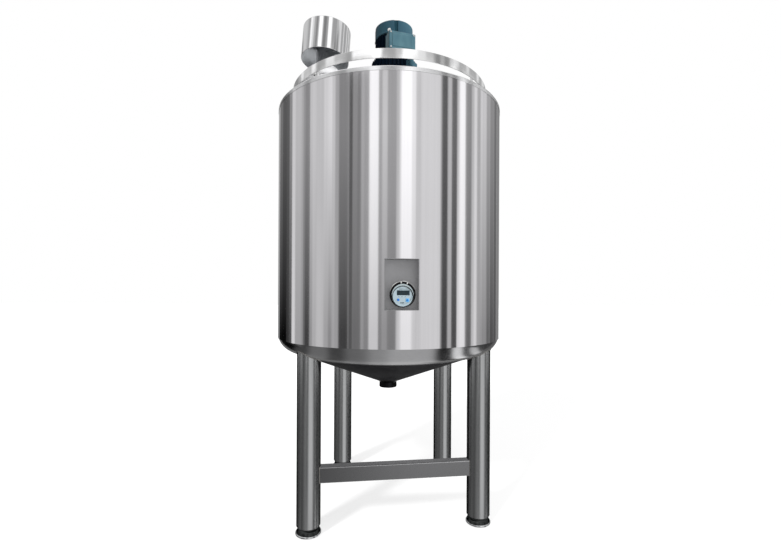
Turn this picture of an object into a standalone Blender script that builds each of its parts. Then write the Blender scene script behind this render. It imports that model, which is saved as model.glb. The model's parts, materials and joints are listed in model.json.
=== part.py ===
"""Insulated stainless steel mixing and storage tank on four legs.

Lengths are in metres. The origin is on the floor under the tank's axis, +Z is up and the front faces -Y.
Azimuths are in degrees about the axis: 0 points to the front and 90 to the right, along +X.
"""

import math

import bmesh
import bpy
from mathutils import Matrix, Vector

GAP = 0.0003  # clearance between pieces that lie against each other
MARGIN = 0.1  # how far a cutter reaches past what it cuts
SUNK_IN = 0.8  # share of a round piece's radius at which another piece ends in it
ROUND_SIDES = 96  # sides of the large turned pieces
TUBE_SIDES = 32
SMALL_SIDES = 24

# Cladding: the polished outer skin of the insulated wall, in eight sheets
CLADDING_RADIUS = 0.600
CLADDING_THICKNESS = 0.003
CLADDING_BOTTOM = 0.912
CLADDING_TOP = 2.091
SHEET_NAMES = (
    "front",
    "front_right",
    "right",
    "back_right",
    "back",
    "back_left",
    "left",
    "front_left",
)

# Bottom of the cladding: a rounded knuckle that the sheets lap over, then a cone down to the outlet
KNUCKLE_RADIUS = 0.0966
KNUCKLE_CENTRE_HEIGHT = 0.9366
KNUCKLE_STEPS = 7
CONE_SLOPE = math.radians(21.2)
CONE_SEAM_RADIUS = 0.487
CONE_HOLE_RADIUS = 0.100

# Inner vessel: the wetted shell inside the insulation
VESSEL_RADIUS = 0.540
VESSEL_THICKNESS = 0.004
BOTTOM_INSULATION = 0.060
SPIGOT_RADIUS = 0.100  # of the vessel's lowest piece, round the outlet
OUTLET_BORE_RADIUS = 0.035

# Top: a trim ring closes the insulation and carries the shallow conical roof
TOP = 2.112
TRIM_PROUD = 0.001
TRIM_CORNER = 0.006
PLATE_THICKNESS = 0.003
ROOF_RADIUS = 0.500
ROOF_SLOPE = math.radians(12.0)

# Guard ring: a flat bar bent round above the roof's edge, on four posts
GUARD_RADIUS = 0.528
GUARD_THICKNESS = 0.004
GUARD_BOTTOM = 2.182
GUARD_TOP = 2.225
POST_RADIUS = 0.007
POST_SIDES = 12
POST_AZIMUTHS = (-40.0, 50.0, 140.0, -130.0)

# Legs
LEG_CIRCLE = 0.520
LEG_RADIUS = 0.057
LEG_WALL = 0.003
LEG_BOTTOM = 0.045
LEG_AZIMUTHS = {"front_left": -46.5, "front_right": 61.0, "back_right": 137.0, "back_left": -145.0}
FOOT_RADIUS = 0.061
FOOT_HEIGHT = 0.031
FOOT_LOWER_ROUND = 0.014
FOOT_UPPER_ROUND = 0.008
FOOT_STEM_RADIUS = 0.016
FOOT_PLUG_LIFT = 0.002
FOOT_PLUG_HEIGHT = 0.012
CROSSBAR_HEIGHT = 0.075
CROSSBAR_DEPTH = 0.050
CROSSBAR_WALL = 0.003
CROSSBAR_TOP = 0.320

# Outlet under the cone
OUTLET_BOTTOM = 0.625
OUTLET_PIPE_RADIUS = 0.038
OUTLET_FLANGE_RADIUS = 0.048
OUTLET_FLANGE_HEIGHT = 0.014
OUTLET_FLANGE_EDGE = 0.0056

# Thermometer, in a pocket let into the cladding
POCKET_AZIMUTH = 5.45
POCKET_WIDTH = 0.148
POCKET_BOTTOM = 1.078
POCKET_TOP = 1.297
POCKET_BACK = 0.550  # distance of the pocket's floor from the tank's axis
POCKET_SHEET = 0.002
POCKET_PROUD = 0.01  # how far its sides reach past the cladding before they are trimmed
GAUGE_HEIGHT = 1.145
GAUGE_ASIDE = 0.004  # to the right of the pocket's middle
GAUGE_RADIUS = 0.0555
GAUGE_CASE_RADIUS = 0.050
GAUGE_FACE_RADIUS = 0.0433
GAUGE_STEM_RADIUS = 0.009
GAUGE_FRONT = 0.597
GAUGE_RIM_DEPTH = 0.012
GAUGE_FACE_DEPTH = 0.004

# Drive on the roof: gear unit, then a motor standing on its flange
DRIVE_X = 0.024
DRIVE_PAD_RADIUS = 0.130
DRIVE_PAD_TOP = 2.236
GEAR_TOP = 2.330
GEAR_RADIUS = 0.100
GEAR_WAIST_RADIUS = 0.088
GEAR_FLANGE_RADIUS = 0.122
GEAR_FLANGE_HEIGHT = 0.014
SHIELD_RADIUS = 0.125
SHIELD_RIM_HEIGHT = 0.016
SHIELD_TOP = 2.424
SHIELD_CORE_RADIUS = 0.113
SHIELD_RIB_RADIUS = 0.1235
FRAME_TOP = 2.550
FRAME_CORE_RADIUS = 0.092
FRAME_FIN_RADIUS = 0.1035
FIN_COUNT = 36
FIN_HALF_ROOT = 0.36  # half a fin's width as a share of the pitch, at its root and at its tip
FIN_HALF_TIP = 0.16
COWL_RADIUS = 0.106
COWL_EDGE = 2.612
COWL_TOP = 2.626
COWL_DOME_ANGLES = (0, 25, 50, 75)
BOX_AZIMUTH = 17.0
BOX_WIDTH = 0.146
BOX_BOTTOM = 2.430
BOX_TOP = 2.525
BOX_BACK = 0.084
BOX_FRONT = 0.155
BOX_LID = 0.018
BOX_CHAMFER = 0.012
GLAND_RADIUS = 0.014
GLAND_TIP_RADIUS = 0.0105
GLAND_TAPER = 0.0198
GLAND_LENGTH = 0.066
GLAND_DISTANCE = 0.1255

# Vent on the roof: a neck with a clamped lid, and a pipe through it that carries a hood, leaning a little
VENT_X = -0.353
VENT_Y = -0.120
VENT_NECK_RADIUS = 0.110
VENT_NECK_WALL = 0.003
VENT_NECK_BOTTOM = 2.116
VENT_NECK_TOP = 2.260
VENT_LID_RADIUS = 0.128
VENT_LID_EDGE = 0.012
VENT_LID_DOME = ((0.120, 0.034), (0.102, 0.066), (0.076, 0.080))
VENT_LID_TOP = 0.088
VENT_LEAN_RIGHT = math.radians(3.5)
VENT_LEAN_BACK = math.radians(3.5)
VENT_PIPE_RADIUS = 0.048
VENT_PIPE_WALL = 0.003
VENT_PIPE_BOTTOM = 2.200
VENT_PIPE_TOP = 2.465
HOOD_RADIUS = 0.126
HOOD_WALL = 0.003
HOOD_BOTTOM = 2.386
HOOD_TOP = 2.555
HOOD_CROWN = 0.006
HOOD_CORNER = 0.006
HOOD_ARM_AZIMUTHS = (60.0, 180.0, 300.0)
HOOD_ARM_HEIGHT = 0.030
HOOD_ARM_THICKNESS = 0.005
HOOD_ARM_DROP = 0.006  # from the pipe's end to the arms' upper edge
CLAMP_AZIMUTHS = (-10.0, 80.0, 170.0, 260.0)
CLAMP_WIDTH = 0.018
CLAMP_REACH = 0.014
CLAMP_OVERLAP = 0.010
CLAMP_BELOW = 0.020
CLAMP_ABOVE = 0.014


def cone_height(radius):
    """Height of the cladding cone's outer face at a distance from the axis."""
    tangent_radius = CLADDING_RADIUS - KNUCKLE_RADIUS * (1 - math.sin(CONE_SLOPE))
    tangent_height = KNUCKLE_CENTRE_HEIGHT - KNUCKLE_RADIUS * math.cos(CONE_SLOPE)
    return tangent_height - (tangent_radius - radius) * math.tan(CONE_SLOPE)


def vessel_floor(radius):
    """Height of the inner vessel's conical bottom, outside, at a distance from the axis."""
    return cone_height(radius) + BOTTOM_INSULATION


def roof_height(radius):
    """Height of the roof's outer face at a distance from the axis."""
    return TOP + (ROOF_RADIUS - radius) * math.tan(ROOF_SLOPE)


def at(radius, azimuth, height=0.0):
    """The point at a distance, an azimuth in degrees and a height."""
    angle = math.radians(azimuth)
    return Vector((radius * math.sin(angle), -radius * math.cos(angle), height))


def facing(azimuth, centre=(0.0, 0.0)):
    """A frame on a vertical axis whose -Y points to an azimuth."""
    return Matrix.Translation((*centre, 0.0)) @ Matrix.Rotation(math.radians(azimuth), 4, "Z")


def material(name, colour, roughness, metallic):
    made = bpy.data.materials.new(name)
    made.use_nodes = True
    shader = made.node_tree.nodes["Principled BSDF"]
    shader.inputs["Base Color"].default_value = (*colour, 1.0)
    shader.inputs["Roughness"].default_value = roughness
    shader.inputs["Metallic"].default_value = metallic
    return made


def add_object(name, bm, finish, place):
    """Makes an object of a bmesh, placed by a matrix."""
    bmesh.ops.remove_doubles(bm, verts=bm.verts, dist=1e-6)
    bmesh.ops.recalc_face_normals(bm, faces=bm.faces)
    mesh = bpy.data.meshes.new(name)
    bm.to_mesh(mesh)
    bm.free()
    mesh.shade_smooth()
    mesh.set_sharp_from_angle(angle=math.radians(30))
    made = bpy.data.objects.new(name, mesh)
    bpy.context.scene.collection.objects.link(made)
    if finish is not None:
        mesh.materials.append(finish)
    if place is not None:
        made.matrix_world = place
    return made


def combine(obj, operation, *others):
    """Cuts other solids from an object, joins them to it or keeps what they share."""
    for other in others:
        other.hide_render = True
        other.display_type = "WIRE"
        modifier = obj.modifiers.new(f"{operation.lower()}_{other.name}", "BOOLEAN")
        modifier.operation = operation
        modifier.object = other
    return obj


def turned(name, outline, finish, sides=ROUND_SIDES, start=0.0, sweep=360.0, place=None):
    """Turns a closed outline of (radius, height) points about Z, from one azimuth through a sweep."""
    bm = bmesh.new()
    whole = sweep == 360.0
    rings = []
    for i in range(sides if whole else sides + 1):
        azimuth = start + sweep * i / sides
        rings.append([bm.verts.new(at(radius, azimuth, height)) for radius, height in outline])
    for i in range(sides):
        here, there = rings[i], rings[(i + 1) % len(rings)]
        for j in range(len(outline)):
            k = (j + 1) % len(outline)
            bm.faces.new((here[j], there[j], there[k], here[k]))
    if not whole:
        bm.faces.new(rings[0])
        bm.faces.new(rings[-1])
    return add_object(name, bm, finish, place)


def prism(name, outline, low, high, finish, place=None):
    """Extrudes a closed outline of (x, y) points from one height to another."""
    bm = bmesh.new()
    lower = [bm.verts.new((x, y, low)) for x, y in outline]
    upper = [bm.verts.new((x, y, high)) for x, y in outline]
    bm.faces.new(lower)
    bm.faces.new(upper)
    for i in range(len(outline)):
        k = (i + 1) % len(outline)
        bm.faces.new((lower[i], lower[k], upper[k], upper[i]))
    return add_object(name, bm, finish, place)


def block(name, low, high, finish, place=None):
    outline = [(low[0], low[1]), (high[0], low[1]), (high[0], high[1]), (low[0], high[1])]
    return prism(name, outline, low[2], high[2], finish, place)


def disc(radius, low, high):
    """The outline of a solid round piece."""
    return [(0.0, low), (radius, low), (radius, high), (0.0, high)]


def tube(outer, inner, low, high):
    """The outline of a hollow round piece."""
    return [(inner, low), (outer, low), (outer, high), (inner, high)]


def rounded(centre, radius, first, last, steps):
    """Points of an arc in an outline, between two angles in degrees from the outward direction."""
    angles = [math.radians(first + (last - first) * i / steps) for i in range(steps + 1)]
    return [(centre[0] + radius * math.cos(a), centre[1] + radius * math.sin(a)) for a in angles]


def finned(core, tip, count):
    """The (x, y) outline of a round body with upright fins."""
    pitch = 360.0 / count
    root = FIN_HALF_ROOT
    edge = FIN_HALF_TIP
    shape = ((-root, core), (-edge, tip), (edge, tip), (root, core))
    return [at(radius, pitch * (i + share))[:2] for i in range(count) for share, radius in shape]


def knuckle_arc(radius, steps):
    """The knuckle's section from the cladding's lower edge to the cone, at a radius about its centre."""
    centre = (CLADDING_RADIUS - KNUCKLE_RADIUS, KNUCKLE_CENTRE_HEIGHT)
    first = -math.degrees(math.asin((KNUCKLE_CENTRE_HEIGHT - CLADDING_BOTTOM) / KNUCKLE_RADIUS))
    last = math.degrees(CONE_SLOPE) - 90.0
    return rounded(centre, radius, first, last, steps)


def build_vessel(steel):
    drop = VESSEL_THICKNESS / math.cos(CONE_SLOPE)
    inner = VESSEL_RADIUS - VESSEL_THICKNESS
    seam = vessel_floor(inner) + drop
    wall = tube(VESSEL_RADIUS, inner, seam + GAP, TOP - PLATE_THICKNESS - GAP)
    turned("vessel_wall", wall, steel)

    hole = SPIGOT_RADIUS
    bottom = [
        (VESSEL_RADIUS, seam),
        (VESSEL_RADIUS, vessel_floor(VESSEL_RADIUS)),
        (hole, vessel_floor(hole)),
        (hole, vessel_floor(hole) + drop),
        (inner, seam),
    ]
    turned("vessel_bottom", bottom, steel)

    edge = SPIGOT_RADIUS - GAP
    tip = vessel_floor(OUTLET_PIPE_RADIUS)
    spigot = [
        (edge, vessel_floor(edge)),
        (OUTLET_PIPE_RADIUS, tip),
        (OUTLET_BORE_RADIUS, tip),
        (OUTLET_BORE_RADIUS, vessel_floor(OUTLET_BORE_RADIUS) + drop),
        (edge, vessel_floor(edge) + drop),
    ]
    turned("vessel_spigot", spigot, steel, ROUND_SIDES // 2)


def build_cladding(polished):
    inner = CLADDING_RADIUS - CLADDING_THICKNESS
    outline = tube(CLADDING_RADIUS, inner, CLADDING_BOTTOM + GAP, CLADDING_TOP)
    sweep = 360.0 / len(SHEET_NAMES)
    joint = math.degrees(GAP / CLADDING_RADIUS)
    sides = ROUND_SIDES // len(SHEET_NAMES)
    for i, where in enumerate(SHEET_NAMES):
        start = sweep * (i - 0.5) + joint / 2
        sheet = turned(f"cladding_{where}", outline, polished, sides, start, sweep - joint)
        if where == "front":
            half = POCKET_WIDTH / 2 + GAP
            low = (-half, -CLADDING_RADIUS - MARGIN, POCKET_BOTTOM - GAP)
            high = (half, MARGIN - CLADDING_RADIUS, POCKET_TOP + GAP)
            combine(sheet, "DIFFERENCE", block("cutter_window", low, high, None, facing(POCKET_AZIMUTH)))


def build_bottom(satin):
    drop = CLADDING_THICKNESS / math.cos(CONE_SLOPE)
    outer = knuckle_arc(KNUCKLE_RADIUS, KNUCKLE_STEPS)
    inner = knuckle_arc(KNUCKLE_RADIUS - CLADDING_THICKNESS, KNUCKLE_STEPS)
    seam = cone_height(CONE_SEAM_RADIUS)
    knuckle = [*outer, (CONE_SEAM_RADIUS, seam), (CONE_SEAM_RADIUS, seam + drop), *reversed(inner)]
    turned("bottom_knuckle", knuckle, satin)

    edge = CONE_SEAM_RADIUS - GAP
    hole = CONE_HOLE_RADIUS
    cone = [
        (edge, cone_height(edge)),
        (hole, cone_height(hole)),
        (hole, cone_height(hole) + drop),
        (edge, cone_height(edge) + drop),
    ]
    turned("bottom_cone", cone, satin)


def build_top(polished, satin):
    outer = CLADDING_RADIUS + TRIM_PROUD
    skirt = outer - PLATE_THICKNESS
    under = TOP - PLATE_THICKNESS
    trim = [
        (skirt, CLADDING_TOP + GAP),
        (outer, CLADDING_TOP + GAP),
        *rounded((outer - TRIM_CORNER, TOP - TRIM_CORNER), TRIM_CORNER, 0.0, 90.0, 4),
        (ROOF_RADIUS + GAP, TOP),
        (ROOF_RADIUS + GAP, under),
        (skirt, under),
    ]
    turned("top_trim_ring", trim, polished)

    peak = roof_height(0.0)
    cone = [(ROOF_RADIUS, TOP), (0.0, peak), (0.0, peak - PLATE_THICKNESS), (ROOF_RADIUS, under)]
    roof = turned("roof", cone, satin)
    hole = disc(VENT_NECK_RADIUS + GAP, TOP - MARGIN, TOP + MARGIN * 2)
    place = Matrix.Translation((VENT_X, VENT_Y, 0.0))
    combine(roof, "DIFFERENCE", turned("cutter_neck_hole", hole, None, TUBE_SIDES, place=place))


def build_guard(polished):
    inner = GUARD_RADIUS - GUARD_THICKNESS
    ring = turned("guard_ring", tube(GUARD_RADIUS, inner, GUARD_BOTTOM, GUARD_TOP), polished)
    post_top = GUARD_TOP - POST_RADIUS
    for i, azimuth in enumerate(POST_AZIMUTHS):
        place = Matrix.Translation(at(inner - POST_RADIUS * SUNK_IN, azimuth))
        shape = disc(POST_RADIUS, TOP + GAP, post_top)
        post = turned(f"joined_post_{i + 1}", shape, None, POST_SIDES, place=place)
        combine(ring, "UNION", post)


def build_legs(satin, dark):
    drop = GAP / math.cos(CONE_SLOPE)
    under = [(0.0, cone_height(0.0) - drop), *reversed(knuckle_arc(KNUCKLE_RADIUS + GAP, KNUCKLE_STEPS))]
    high = CLADDING_BOTTOM + MARGIN
    far = CLADDING_RADIUS + MARGIN
    above = [*under, (far, CLADDING_BOTTOM), (far, high), (0.0, high)]
    body = turned("cutter_body", above, None)
    plug = LEG_RADIUS - LEG_WALL - GAP
    plug_low = LEG_BOTTOM + FOOT_PLUG_LIFT
    plug_high = plug_low + FOOT_PLUG_HEIGHT
    lower = FOOT_LOWER_ROUND
    upper = FOOT_UPPER_ROUND
    foot = [
        (0.0, 0.0),
        (FOOT_RADIUS - lower, 0.0),
        *rounded((FOOT_RADIUS - lower, lower), lower, -70.0, 0.0, 3),
        *rounded((FOOT_RADIUS - upper, FOOT_HEIGHT - upper), upper, 0.0, 90.0, 3),
        (FOOT_STEM_RADIUS, FOOT_HEIGHT),
        (FOOT_STEM_RADIUS, plug_low),
        (plug, plug_low),
        (plug, plug_high),
        (0.0, plug_high),
    ]
    for where, azimuth in LEG_AZIMUTHS.items():
        place = Matrix.Translation(at(LEG_CIRCLE, azimuth))
        outline = tube(LEG_RADIUS, LEG_RADIUS - LEG_WALL, LEG_BOTTOM, CLADDING_BOTTOM)
        leg = turned(f"leg_{where}", outline, satin, TUBE_SIDES, place=place)
        combine(leg, "DIFFERENCE", body)
        turned(f"foot_{where}", foot, dark, TUBE_SIDES, place=place)


def build_crossbar(satin):
    left, right = (at(LEG_CIRCLE, LEG_AZIMUTHS[where]) for where in ("front_left", "front_right"))
    along = right - left
    half = along.length / 2 - LEG_RADIUS * SUNK_IN
    turn = math.atan2(along.y, along.x)
    place = Matrix.Translation((left + right) / 2) @ Matrix.Rotation(turn, 4, "Z")
    depth = CROSSBAR_DEPTH / 2
    wall = CROSSBAR_WALL
    low = CROSSBAR_TOP - CROSSBAR_HEIGHT
    bar = block("crossbar", (-half, -depth, low), (half, depth, CROSSBAR_TOP), satin, place)
    hollow_low = (-half - MARGIN, wall - depth, low + wall)
    hollow_high = (half + MARGIN, depth - wall, CROSSBAR_TOP - wall)
    combine(bar, "DIFFERENCE", block("cutter_bar_hollow", hollow_low, hollow_high, None, place))
    room = disc(LEG_RADIUS + GAP, low - MARGIN, CROSSBAR_TOP + MARGIN)
    for where, foot in (("left", left), ("right", right)):
        cutter = turned(f"cutter_bar_{where}", room, None, TUBE_SIDES, place=Matrix.Translation(foot))
        combine(bar, "DIFFERENCE", cutter)


def build_outlet(dark):
    top = vessel_floor(OUTLET_PIPE_RADIUS) - GAP
    flange_top = OUTLET_BOTTOM + OUTLET_FLANGE_HEIGHT
    pipe = [
        (OUTLET_BORE_RADIUS, OUTLET_BOTTOM),
        (OUTLET_FLANGE_RADIUS, OUTLET_BOTTOM),
        (OUTLET_FLANGE_RADIUS, OUTLET_BOTTOM + OUTLET_FLANGE_EDGE),
        (OUTLET_PIPE_RADIUS, flange_top),
        (OUTLET_PIPE_RADIUS, top),
        (OUTLET_BORE_RADIUS, top),
    ]
    turned("outlet_pipe", pipe, dark, SMALL_SIDES)
    bore = OUTLET_PIPE_RADIUS + GAP
    edge = CONE_HOLE_RADIUS - GAP
    drop = CLADDING_THICKNESS / math.cos(CONE_SLOPE)
    collar = [
        (bore, flange_top + GAP),
        (OUTLET_FLANGE_RADIUS, flange_top + GAP),
        (OUTLET_FLANGE_RADIUS, cone_height(OUTLET_FLANGE_RADIUS)),
        (edge, cone_height(edge)),
        (edge, cone_height(edge) + drop),
        (bore, cone_height(bore) + drop),
    ]
    turned("outlet_collar", collar, dark, ROUND_SIDES // 2)


def build_pocket(satin, gauge_place):
    place = facing(POCKET_AZIMUTH)
    half = POCKET_WIDTH / 2
    sheet = POCKET_SHEET
    proud = CLADDING_RADIUS + POCKET_PROUD
    outer_low = (-half, -proud, POCKET_BOTTOM)
    outer_high = (half, -POCKET_BACK, POCKET_TOP)
    pocket = block("thermometer_pocket", outer_low, outer_high, satin, place)
    low = (sheet - half, -proud - MARGIN, POCKET_BOTTOM + sheet)
    high = (half - sheet, -POCKET_BACK - sheet, POCKET_TOP - sheet)
    combine(pocket, "DIFFERENCE", block("cutter_pocket_inside", low, high, None, place))
    skin = disc(CLADDING_RADIUS + TRIM_PROUD, POCKET_BOTTOM - MARGIN, POCKET_TOP + MARGIN)
    combine(pocket, "INTERSECT", turned("shared_skin", skin, None))
    hole = disc(GAUGE_STEM_RADIUS + GAP, POCKET_BACK - MARGIN, POCKET_BACK + MARGIN)
    combine(pocket, "DIFFERENCE", turned("cutter_stem_hole", hole, None, SMALL_SIDES, place=gauge_place))


def build_thermometer(satin, dark, dial):
    out = Matrix.Rotation(math.radians(90), 4, "X")
    place = facing(POCKET_AZIMUTH) @ Matrix.Translation((GAUGE_ASIDE, 0.0, GAUGE_HEIGHT)) @ out
    build_pocket(satin, place)
    sides = SMALL_SIDES * 2
    case_back = POCKET_BACK + POCKET_SHEET + GAP
    case_front = GAUGE_FRONT - GAUGE_RIM_DEPTH
    stem = disc(GAUGE_STEM_RADIUS, VESSEL_RADIUS + GAP, case_back - GAP)
    turned("thermometer_stem", stem, satin, SMALL_SIDES, place=place)
    turned("thermometer_case", disc(GAUGE_CASE_RADIUS, case_back, case_front), dark, sides, place=place)
    rim = tube(GAUGE_RADIUS, GAUGE_FACE_RADIUS + GAP, case_front + GAP, GAUGE_FRONT)
    turned("thermometer_bezel", rim, satin, sides, place=place)
    face = disc(GAUGE_FACE_RADIUS, case_front + GAP, GAUGE_FRONT - GAUGE_FACE_DEPTH)
    turned("thermometer_face", face, dial, sides, place=place)


def build_gear_unit(blue, satin, place):
    pad = turned("drive_pad", disc(DRIVE_PAD_RADIUS, TOP, DRIVE_PAD_TOP), satin, TUBE_SIDES, place=place)
    lift = GAP / math.cos(ROOF_SLOPE)
    under = [
        (0.0, roof_height(0.0) + lift),
        (ROOF_RADIUS, TOP + lift),
        (ROOF_RADIUS, TOP - MARGIN),
        (0.0, TOP - MARGIN),
    ]
    combine(pad, "DIFFERENCE", turned("cutter_under_roof", under, None))
    low = DRIVE_PAD_TOP + GAP
    gear = [
        (0.0, low),
        (GEAR_FLANGE_RADIUS, low),
        (GEAR_FLANGE_RADIUS, low + GEAR_FLANGE_HEIGHT),
        (GEAR_WAIST_RADIUS, low + GEAR_FLANGE_HEIGHT * 2),
        (GEAR_RADIUS, GEAR_TOP - GEAR_FLANGE_HEIGHT * 1.5),
        (GEAR_FLANGE_RADIUS, GEAR_TOP - GEAR_FLANGE_HEIGHT),
        (GEAR_FLANGE_RADIUS, GEAR_TOP),
        (0.0, GEAR_TOP),
    ]
    turned("gear_unit", gear, blue, TUBE_SIDES, place=place)


def build_motor(blue, place):
    rim_top = GEAR_TOP + GAP + SHIELD_RIM_HEIGHT
    turned("motor_flange", disc(SHIELD_RADIUS, GEAR_TOP + GAP, rim_top), blue, TUBE_SIDES, place=place)
    ribs = finned(SHIELD_CORE_RADIUS, SHIELD_RIB_RADIUS, FIN_COUNT)
    prism("motor_end_shield", ribs, rim_top + GAP, SHIELD_TOP, blue, place)
    fins = finned(FRAME_CORE_RADIUS, FRAME_FIN_RADIUS, FIN_COUNT)
    prism("motor_frame", fins, SHIELD_TOP + GAP, FRAME_TOP, blue, place)
    rise = COWL_TOP - COWL_EDGE
    angles = [math.radians(degrees) for degrees in COWL_DOME_ANGLES]
    dome = [(COWL_RADIUS * math.cos(a), COWL_EDGE + rise * math.sin(a)) for a in angles]
    cowl = [(0.0, FRAME_TOP + GAP), (COWL_RADIUS, FRAME_TOP + GAP), *dome, (0.0, COWL_TOP)]
    turned("fan_cowl", cowl, blue, TUBE_SIDES, place=place)


def build_terminal_box(blue):
    place = facing(BOX_AZIMUTH, (DRIVE_X, 0.0))
    half = BOX_WIDTH / 2
    cut = BOX_CHAMFER
    seat = BOX_FRONT - BOX_LID
    box = block("terminal_box", (-half, -seat, BOX_BOTTOM), (half, -BOX_BACK, BOX_TOP), blue, place)
    room = disc(FRAME_FIN_RADIUS + GAP, BOX_BOTTOM - MARGIN, FRAME_TOP + MARGIN)
    centre = Matrix.Translation((DRIVE_X, 0.0, 0.0))
    combine(box, "DIFFERENCE", turned("cutter_frame_room", room, None, TUBE_SIDES * 2, place=centre))
    lid = [
        (-half, BOX_BOTTOM + cut),
        (-half + cut, BOX_BOTTOM),
        (half - cut, BOX_BOTTOM),
        (half, BOX_BOTTOM + cut),
        (half, BOX_TOP - cut),
        (half - cut, BOX_TOP),
        (-half + cut, BOX_TOP),
        (-half, BOX_TOP - cut),
    ]
    upright = place @ Matrix.Rotation(math.radians(90), 4, "X")
    prism("terminal_box_lid", lid, seat + GAP, BOX_FRONT, blue, upright)
    low = BOX_BOTTOM - GLAND_LENGTH
    gland = [
        (0.0, low),
        (GLAND_TIP_RADIUS, low),
        (GLAND_RADIUS, low + GLAND_TAPER),
        (GLAND_RADIUS, BOX_BOTTOM - GAP),
        (0.0, BOX_BOTTOM - GAP),
    ]
    under = Matrix.Translation((half - GLAND_RADIUS, -GLAND_DISTANCE, 0.0))
    turned("cable_gland", gland, blue, 12, place=place @ under)


def build_vent_lid(satin, place, pipe_room):
    centre = (VENT_X, VENT_Y)
    neck = tube(VENT_NECK_RADIUS, VENT_NECK_RADIUS - VENT_NECK_WALL, VENT_NECK_BOTTOM, VENT_NECK_TOP)
    turned("vent_neck", neck, satin, TUBE_SIDES, place=place)
    low = VENT_NECK_TOP + GAP
    edge = low + VENT_LID_EDGE
    dome = [(radius, low + height) for radius, height in VENT_LID_DOME]
    outline = [(0.0, low), (VENT_LID_RADIUS, low), (VENT_LID_RADIUS, edge), *dome, (0.0, low + VENT_LID_TOP)]
    lid = turned("vent_lid", outline, satin, TUBE_SIDES, place=place)
    for i, azimuth in enumerate(CLAMP_AZIMUTHS):
        low_corner = (-CLAMP_WIDTH / 2, -VENT_LID_RADIUS - CLAMP_REACH, low - CLAMP_BELOW)
        high_corner = (CLAMP_WIDTH / 2, CLAMP_OVERLAP - VENT_LID_RADIUS, edge + CLAMP_ABOVE)
        clamp = block(f"joined_clamp_{i + 1}", low_corner, high_corner, None, facing(azimuth, centre))
        combine(lid, "UNION", clamp)
    combine(lid, "DIFFERENCE", pipe_room)


def build_vent(polished, satin):
    place = Matrix.Translation((VENT_X, VENT_Y, 0.0))
    pivot = Matrix.Translation((0.0, 0.0, VENT_NECK_TOP))
    lean = Matrix.Rotation(VENT_LEAN_RIGHT, 4, "Y") @ Matrix.Rotation(-VENT_LEAN_BACK, 4, "X")
    leaning = place @ pivot @ lean @ pivot.inverted()
    room = disc(VENT_PIPE_RADIUS + GAP, VENT_NECK_TOP - MARGIN, VENT_NECK_TOP + MARGIN * 2)
    pipe_room = turned("cutter_pipe_room", room, None, TUBE_SIDES, place=leaning)
    build_vent_lid(satin, place, pipe_room)

    outline = tube(VENT_PIPE_RADIUS, VENT_PIPE_RADIUS - VENT_PIPE_WALL, VENT_PIPE_BOTTOM, VENT_PIPE_TOP)
    pipe = turned("vent_pipe", outline, satin, TUBE_SIDES, place=leaning)
    half = HOOD_ARM_THICKNESS / 2
    reach = HOOD_RADIUS - HOOD_WALL - GAP * 2
    high = VENT_PIPE_TOP - HOOD_ARM_DROP
    for i, azimuth in enumerate(HOOD_ARM_AZIMUTHS):
        low_corner = (-half, -reach, high - HOOD_ARM_HEIGHT)
        high_corner = (half, -VENT_PIPE_RADIUS + VENT_PIPE_WALL / 2, high)
        arm = block(f"joined_arm_{i + 1}", low_corner, high_corner, None, leaning @ facing(azimuth))
        combine(pipe, "UNION", arm)

    wall = HOOD_WALL
    corner = HOOD_CORNER
    hood = [
        (HOOD_RADIUS - wall, HOOD_BOTTOM),
        (HOOD_RADIUS, HOOD_BOTTOM),
        *rounded((HOOD_RADIUS - corner, HOOD_TOP - corner), corner, 0.0, 80.0, 3),
        (0.0, HOOD_TOP + HOOD_CROWN),
        (0.0, HOOD_TOP + HOOD_CROWN - wall),
        (HOOD_RADIUS - corner, HOOD_TOP - wall),
        (HOOD_RADIUS - wall, HOOD_TOP - corner),
    ]
    turned("vent_hood", hood, polished, TUBE_SIDES * 2, place=leaning)


def main():
    for obj in list(bpy.data.objects):
        bpy.data.objects.remove(obj)
    polished = material("polished_steel", (0.72, 0.72, 0.73), 0.12, 1.0)
    satin = material("satin_steel", (0.42, 0.42, 0.44), 0.35, 1.0)
    dark = material("dark_steel", (0.06, 0.06, 0.065), 0.45, 0.8)
    blue = material("motor_paint", (0.03, 0.13, 0.18), 0.45, 0.0)
    dial = material("dial_plate", (0.62, 0.74, 0.78), 0.3, 0.0)
    drive = Matrix.Translation((DRIVE_X, 0.0, 0.0))
    build_vessel(satin)
    build_cladding(polished)
    build_bottom(satin)
    build_top(polished, satin)
    build_guard(polished)
    build_legs(satin, dark)
    build_crossbar(satin)
    build_outlet(dark)
    build_thermometer(satin, dark, dial)
    build_gear_unit(blue, satin, drive)
    build_motor(blue, drive)
    build_terminal_box(blue)
    build_vent(polished, satin)


main()
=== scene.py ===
import json
import math
from contextlib import contextmanager

import bmesh
import bpy
from mathutils import Matrix, Vector

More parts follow.
